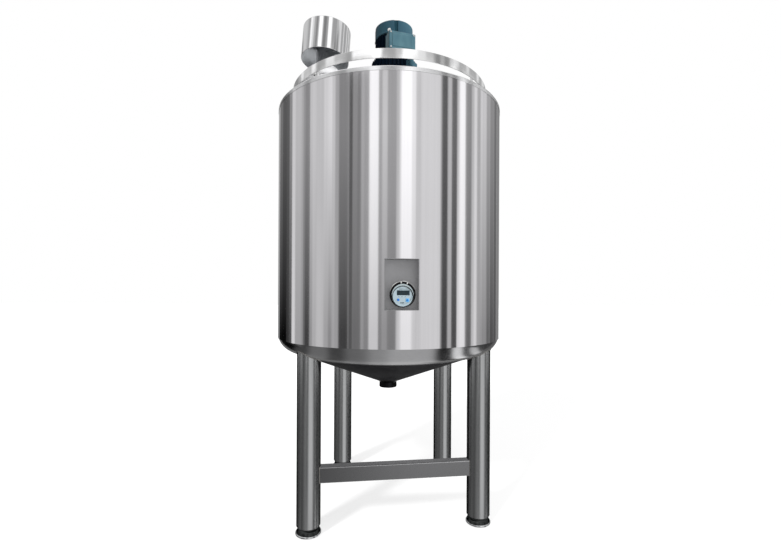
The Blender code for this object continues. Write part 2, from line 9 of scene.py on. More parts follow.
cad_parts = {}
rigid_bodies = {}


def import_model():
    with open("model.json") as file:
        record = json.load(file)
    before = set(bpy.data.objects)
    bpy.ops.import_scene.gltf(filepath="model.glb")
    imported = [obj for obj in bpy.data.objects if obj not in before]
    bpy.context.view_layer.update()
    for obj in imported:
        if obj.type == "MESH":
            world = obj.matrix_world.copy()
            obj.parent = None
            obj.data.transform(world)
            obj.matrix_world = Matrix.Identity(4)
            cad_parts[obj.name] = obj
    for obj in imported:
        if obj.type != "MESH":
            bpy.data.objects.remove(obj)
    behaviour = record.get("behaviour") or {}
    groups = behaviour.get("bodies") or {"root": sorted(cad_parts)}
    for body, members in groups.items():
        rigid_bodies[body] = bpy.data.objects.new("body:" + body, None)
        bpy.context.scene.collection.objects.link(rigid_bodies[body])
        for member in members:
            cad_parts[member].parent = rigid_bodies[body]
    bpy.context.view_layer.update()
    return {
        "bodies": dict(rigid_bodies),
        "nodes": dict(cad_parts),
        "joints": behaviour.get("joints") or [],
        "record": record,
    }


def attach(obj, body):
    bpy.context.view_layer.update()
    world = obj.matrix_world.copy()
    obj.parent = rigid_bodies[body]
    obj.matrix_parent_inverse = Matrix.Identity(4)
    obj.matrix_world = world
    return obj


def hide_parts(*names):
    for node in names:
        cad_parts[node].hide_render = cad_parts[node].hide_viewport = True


# Lengths are in metres in the model's own frame: the origin is on the floor under the tank's axis, the front
# faces -Y and +Z is up. Azimuths are in degrees about the axis: 0 points to the front and 90 to the right.

# Camera: the photograph's viewpoint, level, a little above the outlet
PICTURE_WIDTH = 781.0
PICTURE_HEIGHT = 555.0
FOCAL_PIXELS = 427.4
AXIS_PIXEL = (388.45, 290.0)
CAMERA_DISTANCE = 2.4
CAMERA_HEIGHT = 1.164
CAMERA_ROLL = -0.27
SENSOR = 36.0

# Fineness of the turned pieces
BIG_SIDES = 288
COWL_SIDES = 180
TUBE_SIDES = 96
SMALL_SIDES = 48
POST_SIDES = 32
TINY_SIDES = 24
BEAD_SIDES = 8
GAP = 0.0003  # clearance between pieces that lie against each other
MERGE = 1e-6
SHARP = math.cos(math.radians(35.0))  # faces that turn more than this keep an edge between them

# Cladding sheets and the window for the thermometer's pocket
CLADDING_RADIUS = 0.600
CLADDING_THICKNESS = 0.003
CLADDING_BOTTOM = 0.9123
CLADDING_TOP = 2.091
SHEET_NAMES = ("front", "front_right", "right", "back_right", "back", "back_left", "left", "front_left")
SHEET_STEPS = 45
SEAM_STEPS = 240
POCKET_AZIMUTH = 5.45
POCKET_WIDTH = 0.148
POCKET_BOTTOM = 1.078
POCKET_TOP = 1.297

# Bottom: the rounded knuckle, the cone and the outlet
KNUCKLE_RADIUS = 0.0966
KNUCKLE_HEIGHT = 0.9366
CONE_SLOPE = math.radians(21.2)
SEAM_RADIUS = 0.487
HOLE_RADIUS = 0.100
OUTLET_BOTTOM = 0.625
BORE_RADIUS = 0.035
PIPE_RADIUS = 0.038
PIPE_LENGTH = 0.12
FLANGE_RADIUS = 0.048
FLANGE_TOP = 0.639
FLANGE_EDGE = 0.6306

# Top: trim ring, roof and guard ring
TOP = 2.112
TRIM_RADIUS = 0.601
TRIM_CORNER = 0.006
PLATE = 0.003
ROOF_RADIUS = 0.500
ROOF_SLOPE = math.radians(12.0)
GUARD_RADIUS = 0.528
GUARD_THICKNESS = 0.004
GUARD_BOTTOM = 2.182
GUARD_TOP = 2.225
POST_RADIUS = 0.007
POST_INSET = 0.8  # share of a post's radius between its middle and the ring
POST_AZIMUTHS = (-40.0, 50.0, 140.0, -130.0)

# Legs, feet and crossbar
LEG_CIRCLE = 0.520
LEG_RADIUS = 0.057
LEG_WALL = 0.003
LEG_BOTTOM = 0.045
LEG_AZIMUTHS = {"front_left": -46.5, "front_right": 61.0, "back_right": 137.0, "back_left": -145.0}
FOOT_RADIUS = 0.061
FOOT_HEIGHT = 0.031
FOOT_ROUND = 0.014
STEM_RADIUS = 0.016
RIM_HEIGHT = 0.0135
THREAD_PITCH = 0.003
BAR_DEPTH = 0.050
BAR_BOTTOM = 0.245
BAR_TOP = 0.320
BAR_WALL = 0.003
BAR_CORNER = 0.005
WELD_RADIUS = 0.0028

# Thermometer. Its dial's plane has X to the right and Y up, from the dial's centre.
GAUGE_HEIGHT = 1.145
GAUGE_ASIDE = 0.004
GAUGE_RADIUS = 0.0555
GAUGE_LIP = 0.0527
GAUGE_FRONT = 0.597
GAUGE_BACK = 0.5853
FACE_RADIUS = 0.0433
FACE_FRONT = 0.593
# Circles round the dial, each with its radius and how far it is raised
DIAL_EDGE = (0.0423, 0.0)
FACE_EDGE = (0.0425, -0.0080)
FACE_LINE = (0.0456, -0.0080)
CRESCENT_EDGE = (0.0462, -0.0010)
CRESCENTS = (
    ("gauge_lower", DIAL_EDGE, FACE_EDGE, (0.0046, 0.0006, 0.0002, 0.0030), "dial"),
    ("gauge_line", FACE_EDGE, FACE_LINE, (0.0046, 0.0008, 0.0001, 0.0030), "black"),
    ("gauge_chamfer", FACE_LINE, CRESCENT_EDGE, (0.0046, 0.0002, -0.0002, 0.0030), "chamfer"),
)
# The bright arc over the top of the rim, a painted highlight: its distance from the dial's centre and its
# angles
HIGHLIGHT_REACH = 0.0562
HIGHLIGHT_ANGLES = range(-78, 67, 3)
LUG_ANGLES = (8.0, -22.0)
# Strokes of a digit by letter, in half widths and half heights from the digit's middle
STROKES = {
    "a": (0, 1), "g": (0, 0), "d": (0, -1), "f": (-1, 0.5), "b": (1, 0.5), "e": (-1, -0.5), "c": (1, -0.5),
}
READING = ("abged", "afgcd", "afgedc")
DIGIT_START = (-0.0135, 0.0070)
DIGIT_STEP = 0.0140
DIGIT_HALF = (0.00375, 0.00575)
DIGIT_RELIEF = 0.0004
STROKE_HALF = 0.0010
STROKE_CORNER = 0.0003
POINT = ((0.0062, 0.0008), (0.0080, 0.0026))
DISPLAY = ((-0.0248, -0.0030), (0.0300, 0.0178))
DISPLAY_RELIEF = 0.0008
LEFT_BUTTON = (-0.0190, -0.0225)
RIGHT_BUTTON = (0.0205, -0.0240)
BUTTON_PLATE = ((0.0130, -0.0320), (0.0285, -0.0165))
BUTTON_CORNER = 0.0012
DIAL_SINK = 0.001  # how far what stands on the dial reaches into it
GRADUATIONS = 48
# Marks on the dial: left, bottom, right, top and rounding
MARKS = (
    (-0.018, -0.0105, -0.014, -0.0085, 0.0002),
    (-0.006, -0.0105, 0.0, -0.0085, 0.0002),
    (0.009, -0.0105, 0.014, -0.0085, 0.0002),
    (-0.012, -0.0375, 0.007, -0.0330, 0.0008),
    *((x, 0.0208, x + 0.0030, 0.0250, 0.0003) for x in (-0.0150 + 0.0045 * i for i in range(9))),
)

# Drive
DRIVE = (0.024, 0.0)
PAD_RADIUS = 0.130
PAD_TOP = 2.236
GEAR_TOP = 2.330
GEAR_RADIUS = 0.100
GEAR_WAIST = 0.088
GEAR_FLANGE = 0.122
GEAR_FLANGE_HEIGHT = 0.014
SHIELD_RADIUS = 0.125
SHIELD_RIM = 0.016
BOSS_AZIMUTH = 56.0
BOSS_HALF = 0.038
BOSS_BACK = 0.090
BOSS_FRONT = 0.131
BOSS_TOP = 2.412
FRAME_TOP = 2.550
COWL_RADIUS = 0.106
COWL_SIDE = 0.1048
COWL_EDGE = 2.612
COWL_TOP = 2.626
NOTCH_AZIMUTH = 6.0
NOTCH_HALF = 6.0
NOTCH_FLANK = 1.2
NOTCH_DEPTH = 0.006
COWL_CROWN = (0.1046, 0.1020, 0.0980, 0.0930, 0.0870)
INLET_RINGS = (0.082, 0.071, 0.060, 0.049, 0.038)
BOX_AZIMUTH = 17.0
BOX_HALF = 0.073
BOX_BOTTOM = 2.430
BOX_TOP = 2.525
BOX_FRONT = 0.155
BOX_SEAT = 0.1373
GLAND_RADIUS = 0.014
GLAND_LENGTH = 0.066
GLAND_DISTANCE = 0.1255
# Circles of screws: their number, the circle's radius, the first azimuth, and a screw's radius and height
PAD_SCREWS = (8, 0.1215, 22.5, 0.005, 0.006)
GEAR_SCREWS = (8, 0.110, 22.5, 0.007, 0.008)
SHIELD_SCREWS = (4, 0.1195, 45.0, 0.005, 0.007)
NECK_SCREWS = (12, 0.136, 10.0, 0.0075, 0.013)
NECK_SCREW_LIFT = 0.0105
COWL_SCREWS = (4, -14.5, 0.0062, 0.0060)
COWL_SCREW_LIFT = 0.0135

# Vent
VENT = (-0.353, -0.120)
NECK_RADIUS = 0.110
NECK_WALL = 0.003
NECK_BOTTOM = 2.116
NECK_TOP = 2.260
COLLAR_RADIUS = 0.146
LID_BOTTOM = 2.2603
LID_RADIUS = 0.128
LID_STEPS = 12
LID_RIM = 0.0125
LID_RISE = 0.070
LID_BULGE = 0.8  # the lower, the sooner the lid rises from its rim
CLAMP_HALF = 0.009
CLAMP_REACH = 0.014
HANDWHEEL = (0.0035, 0.0088)
VENT_LEAN = 3.5  # to the right, and as much to the back
VENT_PIPE_RADIUS = 0.048
VENT_PIPE_WALL = 0.003
VENT_PIPE_BOTTOM = 2.200
VENT_PIPE_TOP = 2.465
HOOD_RADIUS = 0.126
HOOD_WALL = 0.003
HOOD_BOTTOM = 2.386
HOOD_TOP = 2.555
HOOD_CROWN = 0.006
HOOD_CORNER = 0.006
ARM_AZIMUTHS = (60.0, 180.0, 300.0)
CLAMP_AZIMUTHS = (-10.0, 80.0, 170.0, 260.0)

# Light: soft upright strips round the studio, each with its azimuth, half its width and its brightness
# high up and low down; light between them has the base brightness
BASE_LIGHT = (0.46, 0.30)
STRIP_EDGE = 1.9
STRIPS = (
    (180, 7, 1.7, 0.6), (-175, 3, 0.9, 0.6), (-160, 5, 0.5, 0.3), (-140, 6, 0.2, 0.006),
    (-128, 6, 0.12, 0.003), (-119.5, 2.5, 0.14, 0.04), (-114, 2, 0.32, 0.08), (-108, 2.2, 0.74, 0.8),
    (-99.5, 4.5, 0.62, 0.44), (-93, 1, 0.5, 0.36), (-90, 1, 0.38, 0.16), (-86, 2.4, 0.31, 0.06),
    (-80.5, 1.4, 0.68, 0.36), (-76.5, 1.8, 0.72, 0.52), (-69.5, 4, 0.64, 0.62), (-61.5, 3, 0.78, 0.44),
    (-57.5, 1.5, 0.88, 0.32), (-54, 1.2, 0.72, 0.46), (-50.5, 1.4, 0.46, 0.42), (-44, 3.8, 0.29, 0.06),
    (-36.5, 1, 0.12, 0.11), (-31.5, 2, 0.33, 0.18), (-28.2, 1, 0.26, 0.19), (-24.5, 1, 0.5, 0.38),
    (-21, 1.6, 0.43, 0.28), (-14.2, 3.6, 1.2, 0.72), (-7.8, 0.6, 0.48, 0.26), (-3.8, 1.7, 0.72, 0.36),
    (2.6, 2.8, 0.43, 0.24), (8.6, 0.5, 0.6, 0.66), (11.6, 0.8, 0.92, 0.8), (17, 4.5, 1.32, 0.96),
    (24, 1.2, 1.04, 0.7), (28.5, 1.6, 0.68, 0.7), (40.5, 9, 0.8, 0.76), (55, 2, 0.13, 0.07),
    (61, 1.4, 0.62, 0.5), (66, 2.2, 0.17, 0.09), (70.8, 0.7, 0.66, 0.86), (75.6, 2.8, 1.2, 0.94),
    (84.5, 2.2, 0.33, 0.15), (90, 1, 0.6, 0.62), (94, 1.6, 0.84, 0.8), (99, 1.8, 0.5, 0.42),
    (103.5, 1, 0.78, 0.38), (109, 2.6, 0.72, 0.32), (117, 2, 0.44, 0.15), (126, 4, 0.32, 0.1),
    (136, 3.5, 0.2, 0.1), (149, 6, 0.26, 0.24), (167, 5, 0.5, 0.34),
)
# Higher up the strips stand elsewhere: first in the tier that the guard ring shows, then in the hood's tier;
# each strip has its azimuth, half its width, the width of its soft edge and its brightness
RING_LIGHT = 0.44
RING_STRIPS = (
    (-154, 3.5, 3, 0.54), (-140, 8, 4, 0.29), (-118.5, 2, 3, 0.92), (-108, 4, 3, 0.56), (-95, 2.6, 2.5, 1),
    (-83, 4, 3, 0.36), (-70, 4.5, 3, 0.87), (-55, 4.5, 3, 0.46), (-45, 2.5, 2, 0.38), (-25, 15.5, 2.5, 1.25),
    (1.5, 5, 3.5, 0.39), (9, 1.2, 2, 0.58), (25, 9, 4, 1.15), (36, 3.5, 3, 0.84), (45.5, 2.5, 2, 0.54),
    (54.5, 2.6, 2.5, 0.27), (61, 1.2, 2, 0.44), (67, 2.5, 2, 0.28), (74, 1.5, 2, 0.62), (81, 3.5, 2.5, 0.8),
    (90, 4, 2.5, 0.44), (100, 1.6, 2.5, 0.8), (110, 6, 3, 0.42), (122, 1.6, 2.5, 0.86), (130, 1.8, 2.5, 0.42),
    (140, 4, 3, 0.72), (150.5, 3, 3, 0.42), (161, 4, 3, 0.68),
)
HOOD_LIGHT = 0.55
HOOD_STRIPS = (
    (-130, 24, 8, 0.64), (-86, 5, 5, 0.42), (-71, 5, 4, 1.1), (-61, 3, 4, 0.8), (-50, 3, 4, 0.48),
    (-40, 3.5, 4, 0.29), (-20, 5.5, 6.5, 1.3), (2, 6, 5, 0.25), (11.5, 2, 4, 0.4), (26, 6.5, 4, 1.25),
    (48, 8, 4, 0.4), (79, 8, 6, 0.88), (102, 4, 4, 0.26), (120, 5, 5, 0.78), (140, 9, 6, 0.14),
)
# What the legs show of the ground round them
GROUND_LIGHT = 0.02
GROUND_STRIPS = ((-28, 48, 50, 0.13), (55, 8, 42, 0.17), (-24, 8, 12, 0.27), (28, 9, 27, 0.88))
# What the rounded bottom shows of the ground below it, in strips that fan out from a point behind the tank
FAN_POINT = 1.33
UNDER_LIGHT = 0.09
UNDER_STRIPS = (
    (-29.7, 2.4, 4, 0.25), (-13.7, 1.7, 4.8, 0.23), (-1.6, 4, 7.2, 0.44), (9.8, 7.3, 5.5, 0.61),
    (23.2, 1.2, 3, 0.02), (29.6, 1.3, 1.9, 1.25), (33.8, 0.4, 1.6, 0.12), (37.6, 1, 1.9, 0.85),
)
# The upright strips behind the tank reach down to the ground: half their width, the soft edge, the share
BEHIND = (55.0, 28.0)
BEHIND_LIGHT = 0.6
# The borders of the tiers, as the sine of the elevation. The ring's border sinks towards the back.
UNDER_TIER = (-0.52, -0.44)
GROUND_TIER = (-0.22, -0.15)
LOW_TO_HIGH = (-0.10, 0.36)
RING_TIER = (0.466, 0.474)
RING_SINK = 0.073 / 152.0**2
HOOD_TIER = (0.522, 0.545)
CEILING_TIER = (0.64, 0.85)
CEILING_LIGHT = 0.95
# The ground's brightness follows the strips over it a little
GROUND_ECHO = (0.85, 1.12)
# What falls on matt surfaces: the direction that it comes from, its range, and what the floor sends back up
GLOW_AIM = (0.82, -0.36, 0.44)
GLOW_RANGE = (-0.3, 0.95, 0.03, 2.1)
FLOOR_GLOW = (-0.8, -0.1, 0.40, 0.0)
FLOOR_DROP = 0.0005
FLOOR_REACH = 30.0
FLOOR_SHADER = {
    "Base Color": (0.28, 0.28, 0.28),
    "Roughness": 1.0,
    "Specular IOR Level": 0.0,
    "Emission Color": (1.0, 1.0, 1.0),
    "Emission Strength": 0.70,
}
SUN_POWER = 3.8
SUN_ANGLE = 8.0
SUN_TURN = (54.0, 0.0, -36.0)
# The lamp that reaches into the vent's hood from the front right: place, aim, power and softness
HOOD_LAMP = ((1.3, -1.9, 1.2), (-0.37, -0.12, 2.40), 340.0, 0.45)
HOOD_LAMP_REACHES = ("hood_cap", "domed_lid", "neck_tube", "neck_collar", "lid_clamps")
# The lamp that lights the thermometer's pocket from the front left, without a shadow
POCKET_LAMP = ((-1.2, -2.0, 1.9), (0.06, -0.58, 1.19), 150.0, 0.08)
LAMP_CONE = 14.0
LAMP_BLEND = 0.4


# Places and frames


def at(radius, azimuth, height=0.0):
    """The point at a distance from the axis, an azimuth in degrees and a height."""
    angle = math.radians(azimuth)
    return Vector((radius * math.sin(angle), -radius * math.cos(angle), height))


def shift(x=0.0, y=0.0, z=0.0):
    return Matrix.Translation((x, y, z))


def spin(degrees, axis="Z"):
    return Matrix.Rotation(math.radians(degrees), 4, axis)


def facing(azimuth, centre=(0.0, 0.0)):
    """A frame on a vertical axis whose -Y points to an azimuth."""
    return shift(*centre) @ spin(azimuth)


def outward(azimuth, centre=(0.0, 0.0), aside=0.0, height=0.0):
    """A frame whose Z points out from the axis to an azimuth, with X to the right and Y up."""
    return facing(azimuth, centre) @ shift(aside, 0.0, height) @ spin(90.0, "X")


# Shader helpers


def node(tree, kind, **settings):
    made = tree.nodes.new(kind)
    for name, value in settings.items():
        setattr(made, name, value)
    return made


def feed(tree, value, target):
    """Gives a socket a number, a colour or another socket's output."""
    if isinstance(value, tuple):
        target.default_value = (*value, 1.0)
    elif isinstance(value, (int, float)):
        target.default_value = value
    else:
        tree.links.new(value, target)


def maths(tree, operation, *values):
    """A Math node of values or sockets, and its result."""
    made = node(tree, "ShaderNodeMath", operation=operation)
    for value, target in zip(values, made.inputs):
        feed(tree, value, target)
    return made.outputs[0]


def ranged(tree, value, low, high, to_low=0.0, to_high=1.0, kind="LINEAR"):
    """Maps a value's range onto another one, clamped."""
    made = node(tree, "ShaderNodeMapRange", interpolation_type=kind)
    for number, target in zip((value, low, high, to_low, to_high), made.inputs):
        feed(tree, number, target)
    return made.outputs["Result"]


def eased(tree, value, low, high, to_low=0.0, to_high=1.0):
    return ranged(tree, value, low, high, to_low, to_high, "SMOOTHSTEP")


def blended(tree, share, first, second):
    """A value between two others, by a share socket."""
    made = node(tree, "ShaderNodeMix", data_type="FLOAT")
    for value, i in ((share, 0), (first, 2), (second, 3)):
        feed(tree, value, made.inputs[i])
    return made.outputs[0]


def tinted(tree, share, first, second):
    """A colour between two others, by a share socket."""
    made = node(tree, "ShaderNodeMix", data_type="RGBA")
    for value, i in ((share, 0), (first, 6), (second, 7)):
        feed(tree, value, made.inputs[i])
    return made.outputs[2]


def parts_of(tree, vector):
    """The three parts of a vector."""
    made = node(tree, "ShaderNodeSeparateXYZ")
    feed(tree, vector, made.inputs[0])
    return made.outputs


def noise(tree, scale, detail=3.0, roughness=0.55):
    """A noise texture in object coordinates, stretched by a scale for each axis."""
    place = node(tree, "ShaderNodeTexCoord")
    mapping = node(tree, "ShaderNodeMapping")
    mapping.inputs["Scale"].default_value = scale
    feed(tree, place.outputs["Object"], mapping.inputs["Vector"])
    texture = node(tree, "ShaderNodeTexNoise")
    for name, value in (("Scale", 1.0), ("Detail", detail), ("Roughness", roughness)):
        texture.inputs[name].default_value = value
    feed(tree, mapping.outputs["Vector"], texture.inputs["Vector"])
    return texture.outputs["Fac"]


def finished(tree, colour, roughness, relief, strength, distance):
    """Gives a material's shader its colour, its roughness and its relief."""
    shader = tree.nodes["Principled BSDF"]
    bump = node(tree, "ShaderNodeBump")
    bump.inputs["Strength"].default_value = strength
    bump.inputs["Distance"].default_value = distance
    feed(tree, relief, bump.inputs["Height"])
    feed(tree, bump.outputs["Normal"], shader.inputs["Normal"])
    feed(tree, colour, shader.inputs["Base Color"])
    feed(tree, roughness, shader.inputs["Roughness"])


def blank(name, metallic=0.0):
    made = bpy.data.materials.new(name)
    made.use_nodes = True
    made.node_tree.nodes["Principled BSDF"].inputs["Metallic"].default_value = metallic
    return made


def setting(material, name, value):
    feed(None, value, material.node_tree.nodes["Principled BSDF"].inputs[name])


# Materials

# Scales of the polishing marks, across and along the grain
UPRIGHT = (90.0, 90.0, 0.5)
ROUND = (1.2, 1.2, 160.0)
EVEN = (45.0, 45.0, 45.0)
BEADED = (300.0, 300.0, 300.0)
# Scales of the clouds and grains in the recipes
STEEL_CLOUDS = (5.0, 5.0, 3.0)
SMEARS = (11.0, 11.0, 4.0)
SMEAR_SPAN = (0.60, 0.75, 0.0, 0.3)
ENAMEL_CLOUDS = (14.0, 14.0, 9.0)
ORANGE_PEEL = (420.0, 420.0, 420.0)
DUST_GRAIN = (60.0, 60.0, 25.0)
CHIP_GRAIN = (150.0, 150.0, 150.0)
PLASTIC_GRAIN = (700.0, 700.0, 700.0)
PLASTIC_CLOUDS = (50.0, 50.0, 50.0)
# Where noise is dark and where it is light
MIDDLE = (0.35, 0.65)
GLOSS_SPAN = (0.3, 0.7)
DUST = (0.16, 0.22, 0.23)
CHIP = (0.30, 0.33, 0.33)
# Painted light on the crossbar: the colour of the painted highlight on its rounded edges, the colour of the
# painted shade at its left end, and where along the bar that shade comes in
BAR_EDGE_HIGHLIGHT = (0.46, 0.46, 0.47)
BAR_SHADE_COLOUR = (0.128, 0.128, 0.131)
BAR_SHADE_SPAN = (-0.42, 0.16)
# The finishes: a dark and a light colour, the range of roughness, and what else the recipe takes
STEELS = {
    "polished": ((0.755, 0.745, 0.765), (0.805, 0.795, 0.815), (0.05, 0.09), UPRIGHT, 0.02),
    "bright": ((0.90, 0.90, 0.91), (0.95, 0.95, 0.95), (0.08, 0.14), ROUND, 0.012),
    "trim": ((0.76, 0.76, 0.77), (0.82, 0.82, 0.83), (0.12, 0.19), ROUND, 0.02, 0.95),
    "hood": ((0.80, 0.80, 0.81), (0.86, 0.86, 0.87), (0.06, 0.10), UPRIGHT, 0.02),
    "satin": ((0.43, 0.435, 0.44), (0.455, 0.46, 0.465), (0.20, 0.24), UPRIGHT, 0.007),
    "bar": ((0.18, 0.18, 0.185), (0.205, 0.205, 0.21), (0.24, 0.32), EVEN, 0.04),
    "plate": ((0.55, 0.55, 0.56), (0.64, 0.64, 0.65), (0.25, 0.36), EVEN, 0.05),
    "knuckle": ((0.48, 0.48, 0.49), (0.52, 0.52, 0.53), (0.13, 0.18), EVEN, 0.015),
    # The cone's steel is given a dark colour: painted shade, for the shade under the tank
    "cone": ((0.16, 0.16, 0.165), (0.22, 0.22, 0.225), (0.30, 0.40), EVEN, 0.03),
    "pocket": ((0.165, 0.165, 0.17), (0.185, 0.185, 0.19), (0.36, 0.42), EVEN, 0.03, 0.1),
    "weld": ((0.26, 0.25, 0.24), (0.46, 0.44, 0.42), (0.30, 0.50), BEADED, 0.3),
    # The foot's steel is made near black: painted shade below the tube; its rim keeps a bright steel colour
    "foot": ((0.030, 0.033, 0.033), (0.060, 0.064, 0.063), (0.16, 0.26), EVEN, 0.05),
    "foot_rim": ((0.62, 0.63, 0.64), (0.72, 0.73, 0.74), (0.06, 0.12), EVEN, 0.03),
    "screw": ((0.75, 0.75, 0.74), (0.85, 0.85, 0.84), (0.12, 0.24), EVEN, 0.06),
    "black": ((0.010, 0.010, 0.011), (0.022, 0.022, 0.024), (0.25, 0.40), EVEN, 0.05),
    "liner": ((0.60, 0.62, 0.64), (0.68, 0.70, 0.72), (0.50, 0.60), EVEN, 0.04, 0.1),
    "lid": ((0.76, 0.76, 0.77), (0.84, 0.84, 0.85), (0.28, 0.38), EVEN, 0.03, 0.3),
}
ENAMELS = {
    "paint": ((0.042, 0.140, 0.185), (0.078, 0.205, 0.245), (0.32, 0.46)),
    # A darker copy of the teal paint: painted shade on the cowl, the end shield's boss and the gland
    "cowl_paint": ((0.034, 0.090, 0.128), (0.052, 0.125, 0.162), (0.34, 0.46)),
    # Darker still: painted shade in the cowl's grooves
    "groove_paint": ((0.014, 0.055, 0.080), (0.022, 0.075, 0.102), (0.40, 0.50), 0.05),
    # Near black: painted shade on the finned frame and the end shield
    "fin_paint": ((0.0015, 0.005, 0.011), (0.003, 0.008, 0.016), (0.45, 0.60), 0.01),
}
PLASTICS = {
    "rubber": ((0.010, 0.010, 0.011), (0.020, 0.020, 0.021), (0.45, 0.65)),
    "dial": ((0.36, 0.46, 0.51), (0.40, 0.50, 0.55), (0.22, 0.32)),
    "chamfer": ((0.34, 0.41, 0.43), (0.40, 0.47, 0.49), (0.25, 0.35)),
    "display": ((0.014, 0.028, 0.036), (0.022, 0.040, 0.050), (0.12, 0.20)),
    "digit": ((0.004, 0.008, 0.010), (0.008, 0.014, 0.016), (0.30, 0.40)),
    "mark": ((0.06, 0.09, 0.11), (0.09, 0.12, 0.14), (0.35, 0.45)),
    "button": ((0.012, 0.14, 0.50), (0.020, 0.20, 0.62), (0.20, 0.30)),
    "light_button": ((0.10, 0.42, 0.78), (0.14, 0.50, 0.86), (0.20, 0.30)),
}
# What is the same all over some of the finishes
SETTINGS = {
    "Specular IOR Level": {"cowl_paint": 0.06, "groove_paint": 0.04, "fin_paint": 0.01, "display": 0.15},
    "Specular Tint": {"satin": (0.0,) * 3, "cone": (0.15,) * 3, "foot": (0.15,) * 3, "bar": (0.15,) * 3},
    "Coat Weight": {"dial": 0.6},
    "Coat Roughness": {"dial": 0.06},
}
finishes = {}


def steel(name, dark, light, rough, grain, relief, metallic=1.0):
    """Stainless steel: polishing marks along the grain, soft clouds, and a few duller smears."""
    made = blank(name, metallic)
    tree = made.node_tree
    marks = noise(tree, grain, 4.0, 0.6)
    clouds = noise(tree, STEEL_CLOUDS)
    shade = maths(tree, "ADD", maths(tree, "MULTIPLY", marks, 0.6), maths(tree, "MULTIPLY", clouds, 0.4))
    share = ranged(tree, shade, *MIDDLE)
    smears = ranged(tree, noise(tree, SMEARS, 5.0, 0.65), *SMEAR_SPAN)
    gloss = maths(tree, "MULTIPLY_ADD", maths(tree, "ADD", share, smears), rough[1] - rough[0], rough[0])
    finished(tree, tinted(tree, share, dark, light), gloss, marks, relief, 0.0004)
    return made


def enamel(name, dark, light, rough, dusty=0.2):
    """Sprayed enamel on castings: orange peel, uneven depth of colour, dust, and small chips."""
    made = blank(name)
    tree = made.node_tree
    clouds = noise(tree, ENAMEL_CLOUDS, 4.0)
    peel = noise(tree, ORANGE_PEEL, 2.0)
    colour = tinted(tree, ranged(tree, clouds, *MIDDLE), dark, light)
    dust = ranged(tree, noise(tree, DUST_GRAIN, 6.0, 0.7), 0.58, 0.80, 0.0, dusty)
    colour = tinted(tree, dust, colour, DUST)
    chips = ranged(tree, noise(tree, CHIP_GRAIN, 5.0, 0.6), 0.76, 0.78)
    colour = tinted(tree, chips, colour, tuple(value * dusty * 3.0 for value in CHIP))
    finished(tree, colour, ranged(tree, clouds, *GLOSS_SPAN, *rough), peel, 0.25, 0.0006)
    return made


def moulded(name, dark, light, rough):
    """Moulded plastic or rubber: fine grain and a little unevenness in colour and gloss."""
    made = blank(name)
    tree = made.node_tree
    grain = noise(tree, PLASTIC_GRAIN)
    clouds = noise(tree, PLASTIC_CLOUDS, 4.0)
    colour = tinted(tree, ranged(tree, clouds, *MIDDLE), dark, light)
    finished(tree, colour, ranged(tree, clouds, *GLOSS_SPAN, *rough), grain, 0.15, 0.0003)
    return made


def paint_bar_light(made):
    """Makes a bar darker towards its left end, as painted shade, and lighter at its rounded edges, as a
    painted highlight.
    """
    tree = made.node_tree
    target = tree.nodes["Principled BSDF"].inputs["Base Color"]
    place = parts_of(tree, node(tree, "ShaderNodeTexCoord").outputs["Object"])
    # Painted shade towards the bar's left end
    colour = tinted(tree, eased(tree, place["X"], *BAR_SHADE_SPAN), BAR_SHADE_COLOUR, target.links[0].from_socket)
    normal = parts_of(tree, node(tree, "ShaderNodeNewGeometry").outputs["Normal"])
    lift = maths(tree, "ABSOLUTE", normal["Z"])
    # A painted highlight on the rounded edges, between the flat top and the flat front
    highlight_share = maths(tree, "MULTIPLY", eased(tree, lift, 0.20, 0.45), eased(tree, lift, 0.85, 0.97, 1.0, 0.75))
    feed(tree, tinted(tree, highlight_share, colour, BAR_EDGE_HIGHLIGHT), target)


def make_finishes():
    """Fills the finishes of the tank, by name."""
    for recipe, table in ((steel, STEELS), (enamel, ENAMELS), (moulded, PLASTICS)):
        for name, values in table.items():
            finishes[name] = recipe(name, *values)
    # The crossbar gets painted shade at its left end and a painted highlight on its edges
    paint_bar_light(finishes["bar"])
    for socket, values in SETTINGS.items():
        for name, value in values.items():
            setting(finishes[name], socket, value)


# Mesh helpers

# Pieces that other surfaces don't mirror
UNMIRRORED = ("tube_", "weld_", "tie_bar", "pad_", "plug_")


def placed(name, data):
    """Adds an object to the scene."""
    made = bpy.data.objects.new(name, data)
    bpy.context.scene.collection.objects.link(made)
    return made


def put(name, mesh, finish, slot, *stands_for):
    """Adds a piece of the tank that rides on its body."""
    made = placed(name, mesh)
    mesh.materials.append(finishes[finish])
    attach(made, "root")
    made.visible_glossy = slot != "motor_paint" and not name.startswith(UNMIRRORED)
    if stands_for:
        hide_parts(*stands_for)


@contextmanager
def piece(name, finish, slot, *stands_for):
    """Makes a piece of the tank from what is added to a bmesh meanwhile."""
    bm = bmesh.new()
    yield bm
    bmesh.ops.remove_doubles(bm, verts=bm.verts, dist=MERGE)
    bmesh.ops.recalc_face_normals(bm, faces=bm.faces)
    put(name, mesh_of(name, bm, weighed_normals), finish, slot, *stands_for)


def mesh_of(name, bm, find_normals):
    """Turns a bmesh into a smooth mesh with the corner normals that a function finds."""
    mesh = bpy.data.meshes.new(name)
    bm.to_mesh(mesh)
    bm.free()
    mesh.shade_smooth()
    mesh.normals_split_custom_set(find_normals(mesh))
    return mesh


